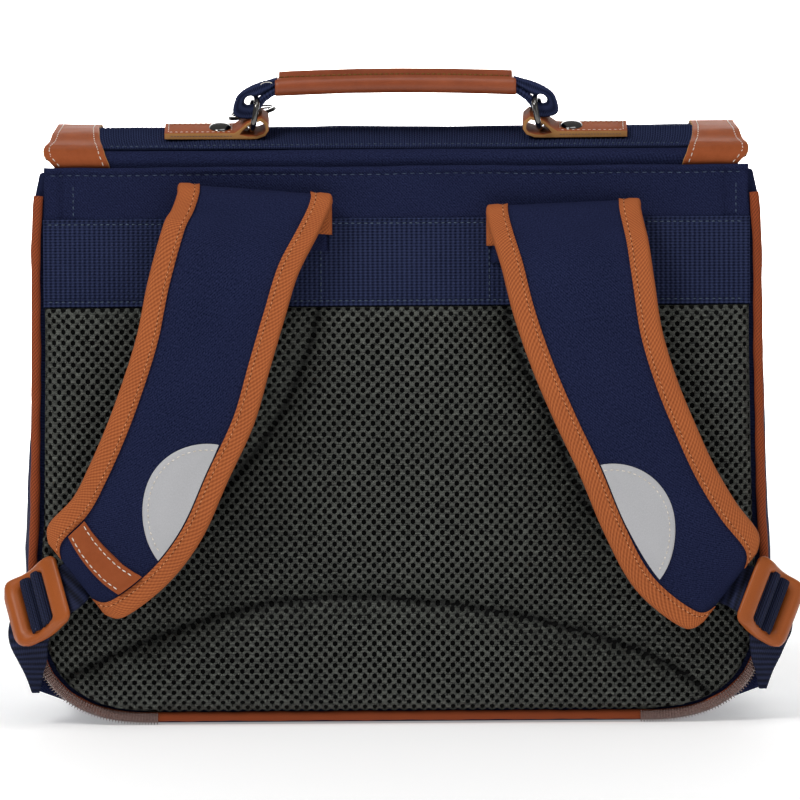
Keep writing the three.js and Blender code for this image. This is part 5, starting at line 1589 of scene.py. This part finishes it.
BOX_CORNER_STEPS = 8
BOX_SIDE_STEPS = 10


def rounded_box(start, end, half, inner_radius, outer_radius):
    """Points (along, across) round a box with one radius at its start and another at its end."""
    corners = [(start + inner_radius, -half + inner_radius, inner_radius, 180),
               (end - outer_radius, -half + outer_radius, outer_radius, 270),
               (end - outer_radius, half - outer_radius, outer_radius, 0),
               (start + inner_radius, half - inner_radius, inner_radius, 90)]
    points = []
    for k, (along, across, radius, first) in enumerate(corners):
        for step in range(BOX_CORNER_STEPS + 1):
            turn = math.radians(first + 90 * step / BOX_CORNER_STEPS)
            points.append((along + radius * math.cos(turn), across + radius * math.sin(turn)))
        next_along, next_across, next_radius, next_first = corners[(k + 1) % 4]
        turn = math.radians(next_first)
        target = (next_along + next_radius * math.cos(turn), next_across + next_radius * math.sin(turn))
        last = points[-1]
        points += [tuple(mix(last[axis], target[axis], j / BOX_SIDE_STEPS) for axis in (0, 1))
                   for j in range(1, BOX_SIDE_STEPS)]
    return points


def build_buckle(side, name):
    """The moulded ladder buckle: a rounded frame that dips between its ends, and two bars."""
    buckle = buckle_frame(side)
    outside = rounded_box(-2.4, BUCKLE_LENGTH + 2.4, BUCKLE_HALF, 4.5, 9.0)
    window = rounded_box(WINDOW_START, WINDOW_END, WINDOW_HALF, 1.6, 4.0)
    around = 18

    def spot(along, across, height):
        return at_buckle(buckle, along, height) + buckle["bars"] * across

    def frame_place(u, v):
        k = round(v * len(outside)) % len(outside)
        turn = 2 * math.pi * u
        share = 0.5 - 0.5 * math.copysign(abs(math.cos(turn)) ** 0.75, math.cos(turn))
        rise = math.copysign(abs(math.sin(turn)) ** 0.7, math.sin(turn))
        along = mix(window[k][0], outside[k][0], share)
        across = mix(window[k][1], outside[k][1], share)
        top = read_table(BUCKLE_SIDE_VIEW, "share", along / BUCKLE_LENGTH, "top")
        under = read_table(BUCKLE_SIDE_VIEW, "share", along / BUCKLE_LENGTH, "under")
        return spot(along, across, (top + under) / 2 + rise * (top - under) / 2)

    bm = new_grid(around, len(outside), frame_place, (30.0, 110.0))
    bmesh.ops.remove_doubles(bm, verts=bm.verts, dist=0.01 * MM)
    for bar in (BAR_INNER, BAR_OUTER):
        rings = []
        for k in range(13):
            across = mix(-WINDOW_HALF - 1.5, WINDOW_HALF + 1.5, k / 12)
            ring = []
            for j in range(12):
                turn = math.pi * j / 6
                point = spot(bar + BAR_RADIUS * math.cos(turn), across, BAR_LOW + BAR_RADIUS * math.sin(turn))
                ring.append(bm.verts.new(point * MM))
            rings.append([bm.edges.new((ring[j], ring[(j + 1) % 12])) for j in range(12)])
        for before, after in zip(rings, rings[1:]):
            bmesh.ops.bridge_loops(bm, edges=before + after)
    face_map(bm)
    finish(bm, f"ladder_buckle_{name}", TAN_PLASTIC, replaces=(f"buckle_{name}",), slot="tan_plastic",
           flat_angle=60)


def build_small_parts():
    for _, name in SIDES:
        soft_copy(f"web_anchor_{name}", f"folded_anchor_{name}", NAVY_TWILL, "navy_twill", 0.8)
        soft_copy(f"flap_clasp_{name}", f"plain_clasp_{name}", TAN_PLASTIC, "tan_plastic", 1.2, segments=4)


def build_threads():
    for name, bm in threads.items():
        layer = bm.loops.layers.uv.new("Place")
        for face in bm.faces:
            for loop in face.loops:
                loop[layer].uv = (loop.vert.co.x + loop.vert.co.y, loop.vert.co.z)
        slot = {"white thread": "tan_leather", "navy thread": "navy_webbing"}.get(name, "tan_tape")
        finish(bm, name.replace(" ", "_") + "_stitches", bpy.data.materials[name], slot=slot, closed=False)


# Building the bag

build_body()
build_piping()
for guard_side, guard_name in SIDES:
    build_guard(guard_side, guard_name)
build_pad_cloth()
build_pad_mesh()
build_hem()
build_band()
build_lid()
build_lid_layers()
for strap_side, strap_name in SIDES:
    strap_rows = strap_frames(strap_side)
    build_strap(strap_side, strap_name, strap_rows)
    build_tape(strap_side, strap_name, -1, strap_rows)
    build_tape(strap_side, strap_name, 1, strap_rows)
    build_reflector(strap_side, strap_name, strap_rows)
    build_strap_web(strap_side, strap_name, strap_rows)
    build_lower_web(strap_side, strap_name)
    build_buckle(strap_side, strap_name)
    if strap_side < 0:
        build_label(strap_rows)
build_grip()
build_handle_webbing()
build_rings()
build_tabs()
build_small_parts()
build_threads()


# Floor, light and camera

FLOOR_FRONT = -7.0
SWEEP_START = 4.6
SWEEP_RADIUS = 1.2
SWEEP_WALL = 3.0
FLOOR_WIDE = 14.0
FLOOR_DROP = 0.0002
CAMERA_DISTANCE = 4.0
PICTURE_WIDE = 0.4108
CAMERA_RISE = 4.5
CAMERA_ROLL = -0.35
SENSOR = 36.0


def add_floor():
    """A pale floor that sweeps up far behind the bag, past the place of any camera."""
    quarter = SWEEP_RADIUS * math.pi / 2
    length = SWEEP_START - FLOOR_FRONT + quarter + SWEEP_WALL
    bm = bmesh.new()
    bmesh.ops.create_grid(bm, x_segments=1, y_segments=90, size=0.5)
    for vert in bm.verts:
        run = (vert.co.y + 0.5) * length + FLOOR_FRONT - SWEEP_START
        turn = clamp(run / quarter) * math.pi / 2
        rise = max(run - quarter, 0.0)
        vert.co = Vector((vert.co.x * FLOOR_WIDE, SWEEP_START + min(run, 0.0) + SWEEP_RADIUS * math.sin(turn),
                          SWEEP_RADIUS * (1 - math.cos(turn)) + rise - FLOOR_DROP))
    mesh = bpy.data.meshes.new("floor")
    bm.to_mesh(mesh)
    bm.free()
    mesh.polygons.foreach_set("use_smooth", [True] * len(mesh.polygons))
    floor = bpy.data.objects.new("floor", mesh)
    scene.collection.objects.link(floor)
    material = bpy.data.materials.new("pale floor")
    material.use_nodes = True
    shader = material.node_tree.nodes["Principled BSDF"]
    shader.inputs["Base Color"].default_value = (0.9, 0.9, 0.9, 1.0)
    shader.inputs["Roughness"].default_value = 0.8
    shader.inputs["Emission Color"].default_value = (1.0, 1.0, 1.0, 1.0)
    shader.inputs["Emission Strength"].default_value = 0.3
    mesh.materials.append(material)


def add_light(name, place, target, size, power):
    data = bpy.data.lights.new(name, "AREA")
    data.size = size
    data.energy = power
    light = bpy.data.objects.new(name, data)
    light.location = place
    light.rotation_euler = (Vector(target) - Vector(place)).to_track_quat("-Z", "Y").to_euler()
    scene.collection.objects.link(light)


def add_camera():
    data = bpy.data.cameras.new("photo camera")
    data.sensor_width = SENSOR
    data.lens = SENSOR * CAMERA_DISTANCE / PICTURE_WIDE
    camera = bpy.data.objects.new("photo camera", data)
    aim = Vector((0.0013, -0.070, 0.1665))
    rise = math.radians(CAMERA_RISE)
    camera.location = aim + CAMERA_DISTANCE * Vector((0, -math.cos(rise), math.sin(rise)))
    turn = (aim - camera.location).to_track_quat("-Z", "Y")
    roll = Matrix.Rotation(math.radians(CAMERA_ROLL), 3, "Z").to_quaternion()
    camera.rotation_euler = (turn @ roll).to_euler()
    data.clip_end = 40.0
    scene.collection.objects.link(camera)
    scene.camera = camera


add_floor()
add_light("key softbox", (-1.3, -1.5, 2.1), (0, 0, 0.15), 0.8, 32.0)
add_light("fill softbox", (1.9, -2.2, 0.9), (0, 0, 0.15), 1.8, 7.0)
add_light("top softbox", (0.4, -0.7, 2.3), (0, 0, 0.2), 1.2, 12.0)
add_light("backdrop light", (0.0, 2.6, 2.4), (0, 5.6, 0.2), 2.0, 420.0)
scene.world = bpy.data.worlds.new("studio")
scene.world.use_nodes = True
scene.world.node_tree.nodes["Background"].inputs["Color"].default_value = (1.0, 1.0, 1.0, 1.0)
scene.world.node_tree.nodes["Background"].inputs["Strength"].default_value = 0.24
scene.view_settings.view_transform = "Standard"
add_camera()
